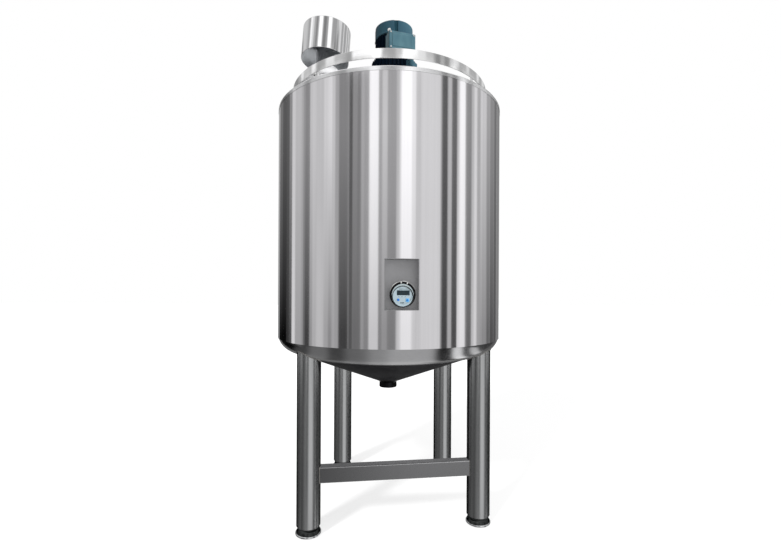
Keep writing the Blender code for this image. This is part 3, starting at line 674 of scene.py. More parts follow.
def weighed_normals(mesh):
    """The mean normal of the faces round each corner by their area, so that large faces stay flat."""
    around = [[] for _ in mesh.vertices]
    for face in mesh.polygons:
        for vert in face.vertices:
            around[vert].append((face.normal.copy(), face.area))
    normals = []
    for face in mesh.polygons:
        own = face.normal.copy()
        for vert in face.vertices:
            near = [normal * area for normal, area in around[vert] if own.dot(normal) > SHARP]
            normals.append(sum(near, Vector((0.0, 0.0, 0.0))).normalized())
    return normals


def repaint(name, finish, place, chosen):
    """Gives the faces of a piece that a test chooses, by centre and normal in a frame, another finish."""
    mesh = bpy.data.objects[name].data
    mesh.materials.append(finishes[finish])
    back = place.inverted()
    turn_back = back.to_3x3()
    for face in mesh.polygons:
        if chosen(back @ face.center, turn_back @ face.normal):
            face.material_index = 1


def skin(bm, loops, closed=True):
    """Adds a skin over loops of points, each joined to the next, and if closed the last to the first."""
    rings = [[bm.verts.new(point) for point in loop] for loop in loops]
    following = [*rings[1:], rings[0]] if closed else rings[1:]
    for here, there in zip(rings, following):
        for i in range(len(here)):
            k = (i + 1) % len(here)
            bm.faces.new((here[i], here[k], there[k], there[i]))
    return rings


def turn(bm, outline, sides, place=None, reach=None):
    """Adds a closed outline of (radius, height) points, turned about Z; reach changes a point's radius."""
    place = place or Matrix()
    rings = []
    for i in range(sides):
        azimuth = 360.0 * i / sides
        points = ((reach(r, azimuth) if reach else r, z) for r, z in outline)
        rings.append([place @ at(r, azimuth, z) for r, z in points])
    skin(bm, rings)


def turned(name, outline, finish, slot, *stands_for, sides=TUBE_SIDES, place=None):
    with piece(name, finish, slot, *stands_for) as bm:
        turn(bm, outline, sides, place)


def arc(centre, radius, first, last, steps):
    """Points of an arc in an outline, between two angles in degrees from the outward direction."""
    angles = [math.radians(first + (last - first) * i / steps) for i in range(steps + 1)]
    return [(centre[0] + radius * math.cos(a), centre[1] + radius * math.sin(a)) for a in angles]


def section(inner, outer, low, high, corner, steps=3):
    """The outline of a ring or bar with rounded corners."""
    return [
        *arc((outer - corner, low + corner), corner, -90.0, 0.0, steps),
        *arc((outer - corner, high - corner), corner, 0.0, 90.0, steps),
        *arc((inner + corner, high - corner), corner, 90.0, 180.0, steps),
        *arc((inner + corner, low + corner), corner, 180.0, 270.0, steps),
    ]


def knob(radius, low, high, corner):
    """The outline of a solid round piece with a rounded upper edge and a small lower chamfer."""
    upper = arc((radius - corner, high - corner), corner, 0.0, 90.0, 3)
    return [(0.0, low), (radius - corner / 3, low), (radius, low + corner / 3), *upper, (0.0, high)]


def block(bm, low, high, corner, place, steps=2):
    """Adds a box with rounded edges, between two corners in a frame."""
    size = [b - a for a, b in zip(low, high)]
    middle = [(a + b) / 2 for a, b in zip(low, high)]
    matrix = place @ shift(*middle) @ Matrix.Diagonal((*size, 1.0))
    made = bmesh.ops.create_cube(bm, size=1.0, matrix=matrix)
    edges = {edge for vert in made["verts"] for edge in vert.link_edges}
    bmesh.ops.bevel(bm, geom=list(edges), offset=corner, segments=steps, profile=0.5, affect="EDGES")


def bead(bm, path, radius, closed=True, ripple=0.0):
    """Adds a round bead along a path; a ripple makes it swell and shrink as a weld does."""
    count = len(path)
    angles = [2 * math.pi * k / BEAD_SIDES for k in range(BEAD_SIDES)]
    rings = []
    for i, point in enumerate(path):
        before = path[(i - 1) % count] if closed or i > 0 else point
        after = path[(i + 1) % count] if closed or i < count - 1 else point
        forward = (after - before).normalized()
        aside = forward.cross(Vector((0.0, 0.0, 1.0)))
        if aside.length < 0.2:
            aside = forward.cross(Vector((1.0, 0.0, 0.0)))
        aside.normalize()
        lift = aside.cross(forward)
        size = radius * (1.0 + ripple * math.sin(i * 2.1))
        rings.append([point + aside * size * math.cos(a) + lift * size * math.sin(a) for a in angles])
    rings = skin(bm, rings, closed)
    if not closed:
        bm.faces.new(rings[0])
        bm.faces.new(rings[-1])


def weld(name, path, radius, ripple, finish="weld"):
    with piece(name, finish, "satin_steel") as bm:
        bead(bm, path, radius, ripple=ripple)


def circle(radius, height, sides, centre=(0.0, 0.0)):
    return [at(radius, 360.0 * i / sides, height) + Vector((*centre, 0.0)) for i in range(sides)]


def draped(points, surface, lift=0.0):
    """Points moved up or down to a surface whose height depends on the distance from the tank's axis."""
    return [Vector((p.x, p.y, surface(p.xy.length) + lift)) for p in points]


def hex_screw(bm, place, radius, height):
    """Adds a hexagon head on a washer, standing on a frame's XY plane."""
    washer = height * 0.22
    turn(bm, section(0.0005, radius * 1.45, 0.0, washer, washer * 0.4, 2), TINY_SIDES, place)
    shoulder = (radius, height * 0.85)
    turn(bm, [(0.0, washer), (radius, washer), shoulder, (radius * 0.86, height), (0.0, height)], 6, place)


def screw_circle(bm, height, count, circle_radius, first, radius, tall):
    """Adds a circle of screws round the drive's axis."""
    for i in range(count):
        spot = at(circle_radius, 360.0 / count * i + first, height)
        hex_screw(bm, shift(*DRIVE) @ shift(*spot), radius, tall)


# Heights of the tank's surfaces

KNUCKLE_MIDDLE = CLADDING_RADIUS - KNUCKLE_RADIUS
TANGENT_RADIUS = KNUCKLE_MIDDLE + KNUCKLE_RADIUS * math.sin(CONE_SLOPE)
SHEET_DROP = CLADDING_THICKNESS / math.cos(CONE_SLOPE)


def cone_height(radius):
    tangent_height = KNUCKLE_HEIGHT - KNUCKLE_RADIUS * math.cos(CONE_SLOPE)
    return tangent_height - (TANGENT_RADIUS - radius) * math.tan(CONE_SLOPE)


def underside(radius):
    """Height of the underside at a distance from the axis, less a clearance."""
    if radius <= TANGENT_RADIUS:
        return cone_height(radius) - GAP / math.cos(CONE_SLOPE)
    return KNUCKLE_HEIGHT - math.sqrt((KNUCKLE_RADIUS + GAP) ** 2 - (radius - KNUCKLE_MIDDLE) ** 2)


def roof_height(radius):
    return TOP + max(0.0, ROOF_RADIUS - radius) * math.tan(ROOF_SLOPE)


# Cladding


def sheet_mesh(name, azimuths, heights, window):
    """A bent sheet over a grid of azimuths and heights, less the cells of a window."""
    bm = bmesh.new()
    outer, inner = (
        [[bm.verts.new(at(radius, a, h)) for h in heights] for a in azimuths]
        for radius in (CLADDING_RADIUS, CLADDING_RADIUS - CLADDING_THICKNESS)
    )
    cells = {(i, j) for i in range(len(azimuths) - 1) for j in range(len(heights) - 1)} - window
    for i, j in sorted(cells):
        corners = ((i, j), (i + 1, j), (i + 1, j + 1), (i, j + 1))
        bm.faces.new([outer[a][b] for a, b in corners])
        bm.faces.new([inner[a][b] for a, b in reversed(corners)])
        for k, beside in enumerate(((i, j - 1), (i + 1, j), (i, j + 1), (i - 1, j))):
            if beside not in cells:
                (a, b), (c, d) = corners[k], corners[(k + 1) % 4]
                bm.faces.new((outer[a][b], inner[a][b], inner[c][d], outer[c][d]))
    return mesh_of(name, bm, round_normals)


def round_normals(mesh):
    """A true cylinder's normals on the bent faces, so reflections run over the joints unbroken."""
    normals = []
    for face in mesh.polygons:
        for vert in face.vertices:
            out = Vector((*mesh.vertices[vert].co.xy, 0.0)).normalized()
            away = face.normal.dot(out)
            bent = abs(face.normal.z) < 0.5 and abs(away) > 0.9
            normals.append(out * math.copysign(1.0, away) if bent else face.normal.copy())
    return normals


def build_cladding():
    sweep = 360.0 / len(SHEET_NAMES)
    inner = CLADDING_RADIUS - CLADDING_THICKNESS
    half_window = math.degrees(math.asin((POCKET_WIDTH / 2 + GAP) / inner))
    for i, where in enumerate(SHEET_NAMES):
        start = sweep * (i - 0.5)
        azimuths = [start + sweep * k / SHEET_STEPS for k in range(SHEET_STEPS + 1)]
        heights = [CLADDING_BOTTOM, CLADDING_TOP]
        window = set()
        if where == "front":
            edges = (POCKET_AZIMUTH - half_window, POCKET_AZIMUTH + half_window)
            azimuths = sorted([*azimuths, *edges])
            heights[1:1] = [POCKET_BOTTOM - GAP, POCKET_TOP + GAP]
            window = {(k, 1) for k in range(*map(azimuths.index, edges))}
        mesh = sheet_mesh(f"sheet_{where}", azimuths, heights, window)
        put(f"sheet_{where}", mesh, "polished", "polished_steel", f"cladding_{where}")


def build_seam():
    """The upright weld at the back of the cladding, ground almost flush."""
    rise = (CLADDING_TOP - CLADDING_BOTTOM) / SEAM_STEPS
    path = [at(CLADDING_RADIUS - 0.0008, 180.0, CLADDING_BOTTOM + rise * i) for i in range(SEAM_STEPS + 1)]
    with piece("back_seam", "polished", "polished_steel") as bm:
        bead(bm, path, 0.0016, closed=False, ripple=0.12)


# Bottom


def knuckle_arc(radius):
    drop = KNUCKLE_HEIGHT - CLADDING_BOTTOM + GAP
    first = -math.degrees(math.asin(drop / KNUCKLE_RADIUS))
    return arc((KNUCKLE_MIDDLE, KNUCKLE_HEIGHT), radius, first, math.degrees(CONE_SLOPE) - 90.0, 24)


def build_bottom():
    seam = cone_height(SEAM_RADIUS)
    inside = reversed(knuckle_arc(KNUCKLE_RADIUS - CLADDING_THICKNESS))
    joint = [(SEAM_RADIUS, seam), (SEAM_RADIUS, seam + SHEET_DROP)]
    knuckle = [*knuckle_arc(KNUCKLE_RADIUS), *joint, *inside]
    turned("rolled_knuckle", knuckle, "knuckle", "satin_steel", "bottom_knuckle", sides=BIG_SIDES)
    lower = [(radius, cone_height(radius)) for radius in (SEAM_RADIUS - GAP, HOLE_RADIUS)]
    upper = [(radius, height + SHEET_DROP) for radius, height in reversed(lower)]
    # The cone and its weld take the dark cone finish: painted shade
    turned("rolled_cone", [*lower, *upper], "cone", "satin_steel", "bottom_cone", sides=BIG_SIDES)
    weld("cone_weld", circle(SEAM_RADIUS, seam - 0.0002, BIG_SIDES), 0.0018, 0.15, "cone")


def build_outlet():
    """The clamp ferrule of the outlet and the flared collar that joins it to the cone."""
    low = OUTLET_BOTTOM
    wide = FLANGE_RADIUS
    ferrule = [
        (BORE_RADIUS, low + 0.001), (BORE_RADIUS + 0.001, low),
        (wide - 0.0045, low), (wide - 0.0038, low + 0.0016),
        (wide - 0.0022, low + 0.0016), (wide - 0.0015, low),
        *arc((wide - 0.001, low + 0.001), 0.001, -80.0, 0.0, 2),
        (wide, FLANGE_EDGE), (PIPE_RADIUS + 0.002, FLANGE_TOP - 0.0015), (PIPE_RADIUS, FLANGE_TOP),
        (PIPE_RADIUS, low + PIPE_LENGTH), (BORE_RADIUS, low + PIPE_LENGTH),
    ]
    turned("outlet_ferrule", ferrule, "black", "dark_steel", "outlet_pipe")
    bore = PIPE_RADIUS + GAP
    edge = HOLE_RADIUS - GAP
    foot = FLANGE_TOP + GAP
    collar = [
        (bore, foot), *arc((wide - 0.002, foot + 0.002), 0.002, -90.0, 0.0, 3),
        (wide, cone_height(wide) - 0.004), (wide + 0.004, cone_height(wide + 0.004)),
        (edge, cone_height(edge)), (edge, cone_height(edge) + SHEET_DROP),
        (bore, cone_height(bore) + SHEET_DROP),
    ]
    turned("outlet_flare", collar, "black", "dark_steel", "outlet_collar")
    clamp = section(PIPE_RADIUS + 0.001, wide + 0.0004, low + 0.0035, FLANGE_TOP + 0.002, 0.0012)
    turned("outlet_clamp", clamp, "black", "dark_steel")


# Top


def build_top():
    skirt = TRIM_RADIUS - PLATE
    edge = ROOF_RADIUS + GAP
    low = CLADDING_TOP + GAP
    trim = [
        (skirt, low), (TRIM_RADIUS - 0.0006, low), (TRIM_RADIUS, low + 0.0006),
        *arc((TRIM_RADIUS - TRIM_CORNER, TOP - TRIM_CORNER), TRIM_CORNER, 0.0, 90.0, 8),
        (edge, TOP), (edge, TOP - PLATE), (skirt, TOP - PLATE),
    ]
    turned("rolled_trim", trim, "trim", "polished_steel", "top_trim_ring", sides=BIG_SIDES)
    weld("roof_weld", circle(ROOF_RADIUS, TOP + 0.0002, BIG_SIDES), 0.0022, 0.15)


def build_guard():
    """The guard ring on its posts, each on a small foot."""
    inner = GUARD_RADIUS - GUARD_THICKNESS
    low = TOP + GAP
    foot = [(0.0, low), (0.016, low), (0.016, TOP + 0.002), (0.009, TOP + 0.0045), (0.0, TOP + 0.0045)]
    with piece("guard_band", "bright", "polished_steel", "guard_ring") as bm:
        turn(bm, section(inner, GUARD_RADIUS, GUARD_BOTTOM, GUARD_TOP, 0.0014), BIG_SIDES)
        for azimuth in POST_AZIMUTHS:
            place = shift(*at(inner - POST_RADIUS * POST_INSET, azimuth))
            turn(bm, knob(POST_RADIUS, low, GUARD_TOP - POST_RADIUS, 0.003), POST_SIDES, place)
            turn(bm, foot, POST_SIDES, place)


# Legs and crossbar


def build_leg(where, azimuth):
    """A tube whose upper end is cut to the underside of the tank, with its weld."""
    centre = at(LEG_CIRCLE, azimuth).xy
    outer = circle(LEG_RADIUS, LEG_BOTTOM, TUBE_SIDES, centre)
    inner = circle(LEG_RADIUS - LEG_WALL, LEG_BOTTOM, TUBE_SIDES, centre)
    with piece(f"tube_{where}", "satin", "satin_steel", f"leg_{where}") as bm:
        skin(bm, (outer, draped(outer, underside), draped(inner, underside), inner))
    path = draped(circle(LEG_RADIUS + 0.0006, 0.0, TUBE_SIDES * 2, centre), underside, -0.0012)
    weld(f"weld_{where}", path, WELD_RADIUS, 0.18)


def build_foot(where, azimuth):
    """A levelling foot with a polished rim: its near-black pad is painted shade below the tube, its threaded
    stem is black as painted shade in the gap under the leg, and a black plug sits in the tube's end.
    """
    place = shift(*at(LEG_CIRCLE, azimuth))
    wide = FOOT_RADIUS
    high = FOOT_HEIGHT
    pad = [
        (0.0, 0.0), (wide - 0.012, 0.0), *arc((wide - FOOT_ROUND, FOOT_ROUND), FOOT_ROUND, -72.0, -30.0, 5),
        (wide - 0.0030, RIM_HEIGHT), *arc((wide - 0.020, high - FOOT_ROUND), FOOT_ROUND, 20.0, 88.0, 7),
        (0.040, high), (0.036, high - 0.003), (0.024, high - 0.003), (0.022, high), (0.0, high),
    ]
    # The pad's near-black finish is painted shade below the tube
    turned(f"pad_{where}", pad, "foot", "dark_steel", f"foot_{where}", place=place)
    rim = section(wide - 0.008, wide, 0.0045, RIM_HEIGHT, 0.0034, 5)
    turned(f"pad_rim_{where}", rim, "foot_rim", "dark_steel", place=place)
    plug = section(0.004, LEG_RADIUS - LEG_WALL - GAP, LEG_BOTTOM - 0.0065, LEG_BOTTOM + 0.014, 0.002)
    # The threaded stem is black as painted shade in the gap under the leg; the plug in the tube's end is
    # black rubber
    with piece(f"plug_{where}", "rubber", "dark_steel") as bm:
        turn(bm, knob(STEM_RADIUS, high + GAP, LEG_BOTTOM + 0.02, 0.001), SMALL_SIDES, place)
        for i in range(4):
            height = high + 0.002 + THREAD_PITCH * i
            thread = section(0.012, STEM_RADIUS + 0.0012, height, height + 0.0018, 0.0008, 2)
            turn(bm, thread, SMALL_SIDES, place)
        turn(bm, plug, TUBE_SIDES, place)


def build_crossbar():
    """A hollow bar with rounded edges whose ends are cut to the legs, with its welds."""
    left, right = (at(LEG_CIRCLE, LEG_AZIMUTHS[where]) for where in ("front_left", "front_right"))
    reach = right - left
    place = shift(*(left + right) / 2) @ Matrix.Rotation(math.atan2(reach.y, reach.x), 4, "Z")

    def end(side, more, clear, corner, steps=5):
        """The bar's outline, made larger or smaller, where it meets a leg."""
        half = BAR_DEPTH / 2 + more
        points = []
        for across, height in section(-half, half, BAR_BOTTOM - more, BAR_TOP + more, corner, steps):
            length = reach.length / 2 - math.sqrt((LEG_RADIUS + clear) ** 2 - across**2)
            points.append(place @ Vector((side * length, across, height)))
        return points

    walls = ((0.0, BAR_CORNER), (-BAR_WALL, BAR_CORNER - BAR_WALL / 2))
    outer, inner = ([end(side, more, GAP, corner) for side in (-1.0, 1.0)] for more, corner in walls)
    with piece("tie_bar", "bar", "satin_steel", "crossbar") as bm:
        skin(bm, (*outer, *reversed(inner)))
    with piece("tie_bar_welds", "weld", "satin_steel") as bm:
        for side in (-1.0, 1.0):
            bead(bm, end(side, 0.0004, 0.001, BAR_CORNER, 8), 0.0020, ripple=0.1)


# Thermometer


def build_digits(place, front):
    half, tall = DIGIT_HALF
    with piece("gauge_digits", "digit", "dial_plate") as bm:
        for i, letters in enumerate(READING):
            for letter in letters:
                across, up = STROKES[letter]
                x = DIGIT_START[0] + DIGIT_STEP * i + across * half
                y = DIGIT_START[1] + up * tall
                wide, high = (STROKE_HALF, tall / 2) if across else (half, STROKE_HALF)
                top = (x + wide, y + high, front + DIGIT_RELIEF)
                block(bm, (x - wide, y - high, front), top, STROKE_CORNER, place, 1)
        block(bm, (*POINT[0], front), (*POINT[1], front + DIGIT_RELIEF), STROKE_CORNER, place, 1)


def build_marks(place):
    """The ring of graduations and the generic marks of the dial."""
    low = FACE_FRONT - 0.0005
    high = FACE_FRONT + 0.0002
    with piece("gauge_marks", "mark", "dial_plate") as bm:
        for i in range(GRADUATIONS):
            inner = FACE_RADIUS - (0.0040 if i % 4 else 0.0055)
            outer = FACE_RADIUS - 0.0022
            spot = place @ spin(360.0 / GRADUATIONS * i)
            block(bm, (-0.0003, inner, low), (0.0003, outer, high), 0.0001, spot, 1)
        for left, bottom, right, top, corner in MARKS:
            block(bm, (left, bottom, low), (right, top, high), corner, place, 1)


def build_dial(place):
    """The pale face with its display, marks and two buttons."""
    front = FACE_FRONT
    dial = knob(FACE_RADIUS, GAUGE_BACK, front, 0.0008)
    turned("gauge_dial", dial, "dial", "dial_plate", "thermometer_face", place=place)
    low = front - DIAL_SINK
    glass = front + DISPLAY_RELIEF
    with piece("gauge_display", "display", "dial_plate") as bm:
        block(bm, (*DISPLAY[0], low), (*DISPLAY[1], glass), DISPLAY_RELIEF, place)
    build_digits(place, glass)
    build_marks(place)
    left = knob(0.0060, low, front + 0.0016, BUTTON_CORNER)
    spot = place @ shift(*LEFT_BUTTON)
    turned("gauge_button_left", left, "button", "dial_plate", sides=POST_SIDES, place=spot)
    with piece("gauge_button_plate", "light_button", "dial_plate") as bm:
        block(bm, (*BUTTON_PLATE[0], low), (*BUTTON_PLATE[1], front + 0.0012), BUTTON_CORNER, place)
    right = knob(0.0048, front + 0.0008, front + 0.0028, BUTTON_CORNER)
    spot = place @ shift(*RIGHT_BUTTON)
    turned("gauge_button_right", right, "button", "dial_plate", sides=POST_SIDES, place=spot)


def offset_reach(radius, lift, angle):
    """How far a raised circle reaches from the dial's centre, at an angle from the top."""
    return lift * math.cos(angle) + math.sqrt(radius**2 - (lift * math.sin(angle)) ** 2)


def on_dial(place, reach, angle, height):
    return place @ Vector((reach * math.sin(angle), reach * math.cos(angle), height))


def build_crescent(name, inner, outer, depths, finish, place):
    """A thin ring between two circles that don't share a centre, each with a radius and a lift."""
    loops = [[], [], [], []]
    for k in range(TUBE_SIDES):
        angle = 2 * math.pi * k / TUBE_SIDES
        near = offset_reach(*inner, angle)
        far = max(offset_reach(*outer, angle), near + 0.0003)
        for loop, reach, depth in zip(loops, (near, near, far, far), depths):
            loop.append(on_dial(place, reach, angle, GAUGE_FRONT - depth))
    with piece(name, finish, "satin_steel") as bm:
        skin(bm, loops)


def build_thermometer():
    """The black ring with its rim, the crescents round the dial, a bright arc over the rim's top that is a
    painted highlight, two lugs and the dial.
    """
    place = outward(POCKET_AZIMUTH, aside=GAUGE_ASIDE, height=GAUGE_HEIGHT)
    face = FACE_RADIUS + GAP
    lip = GAUGE_LIP
    front = GAUGE_FRONT
    ring = [
        (face, GAUGE_BACK), (lip, GAUGE_BACK), (lip, front - 0.0025),
        *arc((lip - 0.0025, front - 0.0025), 0.0020, 0.0, 90.0, 4),
        (face + 0.0025, front - 0.0008), (face, front - 0.0030),
    ]
    turned("gauge_ring", ring, "black", "satin_steel", "thermometer_bezel", place=place)
    rim = section(lip + GAP / 2, GAUGE_RADIUS, GAUGE_BACK, front - 0.0012, 0.0011)
    turned("gauge_rim", rim, "black", "satin_steel", place=place)
    for crescent in CRESCENTS:
        build_crescent(*crescent, place)
    # A bright steel bead over the top of the black rim only: a painted highlight
    with piece("gauge_arc", "screw", "satin_steel") as bm:
        path = [on_dial(place, HIGHLIGHT_REACH, math.radians(angle), front - 0.0010) for angle in HIGHLIGHT_ANGLES]
        bead(bm, path, 0.0016, closed=False)
    with piece("gauge_lugs", "screw", "satin_steel") as bm:
        for angle in LUG_ANGLES:
            spot = place @ spin(angle)
            block(bm, (-0.0030, 0.0475, front - 0.003), (0.0030, 0.0550, front + 0.0012), 0.0008, spot)
    build_dial(place)


# Drive


def ribs(bm, low, high, corner, first=0.0):
    """Adds eight upright ribs round the drive's axis."""
    for i in range(8):
        block(bm, low, high, corner, facing(45.0 * i + first, DRIVE))


def build_pad():
    """The round pad that carries the drive level on the sloping roof."""
    with piece("level_pad", "plate", "satin_steel", "drive_pad") as bm:
        turn(bm, knob(PAD_RADIUS, TOP, PAD_TOP, 0.003), TUBE_SIDES, shift(*DRIVE))
        for vert in bm.verts:
            if vert.co.z < TOP + 0.002:
                vert.co.z = roof_height(vert.co.xy.length) + GAP
        screw_circle(bm, PAD_TOP, *PAD_SCREWS)
    path = draped(circle(PAD_RADIUS + 0.001, 0.0, TUBE_SIDES * 2, DRIVE), roof_height, 0.0012)
    weld("pad_weld", path, WELD_RADIUS, 0.18)


def build_gear():
    """The waisted gear unit between two flanges, with its ribs and screws."""
    low = PAD_TOP + GAP
    thick = GEAR_FLANGE_HEIGHT
    wide = GEAR_FLANGE
    gear = [
        (0.0, low), (wide, low), *arc((wide - 0.002, low + thick - 0.002), 0.002, 0.0, 90.0, 3),
        (GEAR_WAIST + 0.012, low + thick), (GEAR_WAIST + 0.003, low + thick + 0.004),
        (GEAR_WAIST, low + thick * 2),
        (GEAR_RADIUS - 0.004, GEAR_TOP - thick * 1.7), (GEAR_RADIUS, GEAR_TOP - thick * 1.5),
        (wide, GEAR_TOP - thick), *arc((wide - 0.002, GEAR_TOP - 0.002), 0.002, 0.0, 90.0, 3),
        (0.0, GEAR_TOP),
    ]
    with piece("gear_casting", "paint", "motor_paint", "gear_unit") as bm:
        turn(bm, gear, TUBE_SIDES, shift(*DRIVE))
        outer = (-0.004, -wide + 0.006, low + thick - 0.001)
        ribs(bm, outer, (0.004, -0.080, GEAR_TOP - thick - 0.001), 0.0015)
    with piece("gear_screws", "screw", "satin_steel") as bm:
        screw_circle(bm, low + thick, *GEAR_SCREWS)


def build_motor():
    """The motor's flange with its screws, and the boss on its end shield."""
    low = GEAR_TOP + GAP
    high = low + SHIELD_RIM
    rim = knob(SHIELD_RADIUS, low, high, 0.003)
    turned("shield_rim", rim, "paint", "motor_paint", "motor_flange", place=shift(*DRIVE))
    with piece("shield_screws", "screw", "satin_steel") as bm:
        screw_circle(bm, high, *SHIELD_SCREWS)
    # The boss takes the darker copy of the teal paint: painted shade
    with piece("shield_boss", "cowl_paint", "motor_paint") as bm:
        corners = ((-BOSS_HALF, high, BOSS_BACK), (BOSS_HALF, BOSS_TOP, BOSS_FRONT))
        block(bm, *corners, 0.004, outward(BOSS_AZIMUTH, DRIVE), 3)


def notch_distance(azimuth):
    """How far an azimuth is from the nearest of the cowl's four grooves."""
    away = (azimuth - NOTCH_AZIMUTH) % 90.0
    return min(away, 90.0 - away)


def cowl_reach(radius, azimuth):
    """Sinks the upright grooves into the cowl's side."""
    if radius < COWL_RADIUS * 0.95:
        return radius
    return radius - NOTCH_DEPTH * max(0.0, min(1.0, (NOTCH_HALF - notch_distance(azimuth)) / NOTCH_FLANK))


def in_groove(centre, normal):
    azimuth = math.degrees(math.atan2(centre.x, -centre.y))
    return centre.z < COWL_EDGE and notch_distance(azimuth) < NOTCH_HALF


def crown(radius, drop=0.0):
    """A point of the cowl's domed top, or below it."""
    rise = (COWL_TOP - COWL_EDGE) * math.sqrt(max(0.0, 1.0 - (radius / COWL_RADIUS) ** 2))
    return COWL_EDGE + rise - drop


def build_cowl():
    """The fan cowl: a drawn cap with four pressed grooves and a ringed air inlet in its top."""
    low = FRAME_TOP + GAP
    place = shift(*DRIVE)
    outline = [
        (0.0, low), (COWL_RADIUS - 0.001, low), (COWL_RADIUS, low + 0.001), (COWL_RADIUS, low + 0.006),
        (COWL_SIDE, low + 0.0075), (COWL_SIDE, COWL_EDGE - 0.004), *((r, crown(r)) for r in COWL_CROWN),
    ]
    for r in INLET_RINGS:
        outline += [(r, crown(r)), (r - 0.0005, crown(r, 0.004)), (r - 0.0055, crown(r, 0.004))]
        outline.append((r - 0.0060, crown(r - 0.006)))
    # The cowl takes the darker copy of the teal paint: painted shade
    with piece("drawn_cowl", "cowl_paint", "motor_paint", "fan_cowl") as bm:
        turn(bm, [*outline, (0.0, COWL_TOP)], COWL_SIDES, place, cowl_reach)
        ribs(bm, (-0.0025, -0.086, COWL_TOP - 0.008), (0.0025, -0.024, COWL_TOP - 0.0032), 0.0008, 20.0)
    # The faces in the cowl's grooves get painted shade
    repaint("drawn_cowl", "groove_paint", place, in_groove)
    with piece("cowl_screws", "screw", "satin_steel") as bm:
        count, first, radius, tall = COWL_SCREWS
        for i in range(count):
            out = outward(360.0 / count * i + first, DRIVE, height=low + COWL_SCREW_LIFT)
            hex_screw(bm, out @ shift(z=COWL_SIDE), radius, tall)


def build_terminal_box():
    """The box's gasket, its lid with a raised middle, and the lid's screws."""
    place = outward(BOX_AZIMUTH, DRIVE)
    half = BOX_HALF
    low, high, seat, front = BOX_BOTTOM, BOX_TOP, BOX_SEAT, BOX_FRONT
    with piece("box_gasket", "rubber", "motor_paint") as bm:
        corners = ((-half + 0.001, low + 0.001, seat), (half - 0.001, high - 0.001, seat + 0.002))
        block(bm, *corners, 0.0006, place)
    with piece("box_lid", "paint", "motor_paint", "terminal_box_lid") as bm:
        block(bm, (-half, low, seat + 0.0021), (half, high, front - 0.0025), 0.0050, place, 4)
        corners = ((-half + 0.016, low + 0.014, front - 0.004), (half - 0.016, high - 0.014, front))
        block(bm, *corners, 0.0022, place, 3)
    with piece("box_screws", "screw", "satin_steel") as bm:
        for x in (-half + 0.009, half - 0.009):
            for y in (low + 0.009, high - 0.009):
                spot = place @ shift(x, y, front - 0.0026)
                turn(bm, knob(0.0042, 0.0, 0.0026, 0.0014), TINY_SIDES, spot)


def build_gland():
    """The cable gland under the box: a hexagon nut, a threaded neck and a cap."""
    spot = facing(BOX_AZIMUTH, DRIVE) @ shift(BOX_HALF - GLAND_RADIUS, -GLAND_DISTANCE)
    top = BOX_BOTTOM - GAP
    low = BOX_BOTTOM - GLAND_LENGTH
    wide = GLAND_RADIUS
    slim = GLAND_RADIUS - 0.0015
    nut = [(0.0, top - 0.012), (slim, top - 0.012), (wide, top - 0.010), (wide, top), (0.0, top)]
    cap = [
        (0.0, low + 0.001), (slim - 0.004, low + 0.001), (slim - 0.002, low), (wide, low + 0.020),
        (wide, top - 0.034), (0.0, top - 0.034),
    ]
    # The gland takes the darker copy of the teal paint: painted shade
    with piece("gland", "cowl_paint", "motor_paint", "cable_gland") as bm:
        turn(bm, nut, 6, spot)
        for i in range(5):
            height = top - 0.016 - 0.004 * i
            turn(bm, section(0.002, slim, height - 0.0032, height, 0.0012, 2), SMALL_SIDES, spot)
        turn(bm, cap, 12, spot)


# Vent


def build_neck():
    """The vent's neck with a sloping collar welded to the roof, and the screws that hold it."""
    wide = NECK_RADIUS
    neck = [
        (wide - NECK_WALL, NECK_BOTTOM), (wide, NECK_BOTTOM), (wide, NECK_TOP - 0.008),
        *arc((wide, NECK_TOP - 0.004), 0.004, -70.0, 80.0, 6), (wide - NECK_WALL, NECK_TOP),
    ]
    turned("neck_tube", neck, "lid", "satin_steel", "vent_neck", place=shift(*VENT))
    collar = ((wide + GAP, 0.002), (COLLAR_RADIUS, 0.002), (COLLAR_RADIUS, 0.006), (wide + GAP, 0.034))
    loops = [draped(circle(radius, 0.0, TUBE_SIDES, VENT), roof_height, lift) for radius, lift in collar]
    with piece("neck_collar", "trim", "satin_steel") as bm:
        skin(bm, loops)
    with piece("neck_screws", "screw", "satin_steel") as bm:
        count, circle_radius, first, radius, tall = NECK_SCREWS
        for i in range(count):
            spot = at(circle_radius, 360.0 / count * i + first) + Vector((*VENT, 0.0))
            hex_screw(bm, shift(*draped([spot], roof_height, NECK_SCREW_LIFT)[0]), radius, tall)


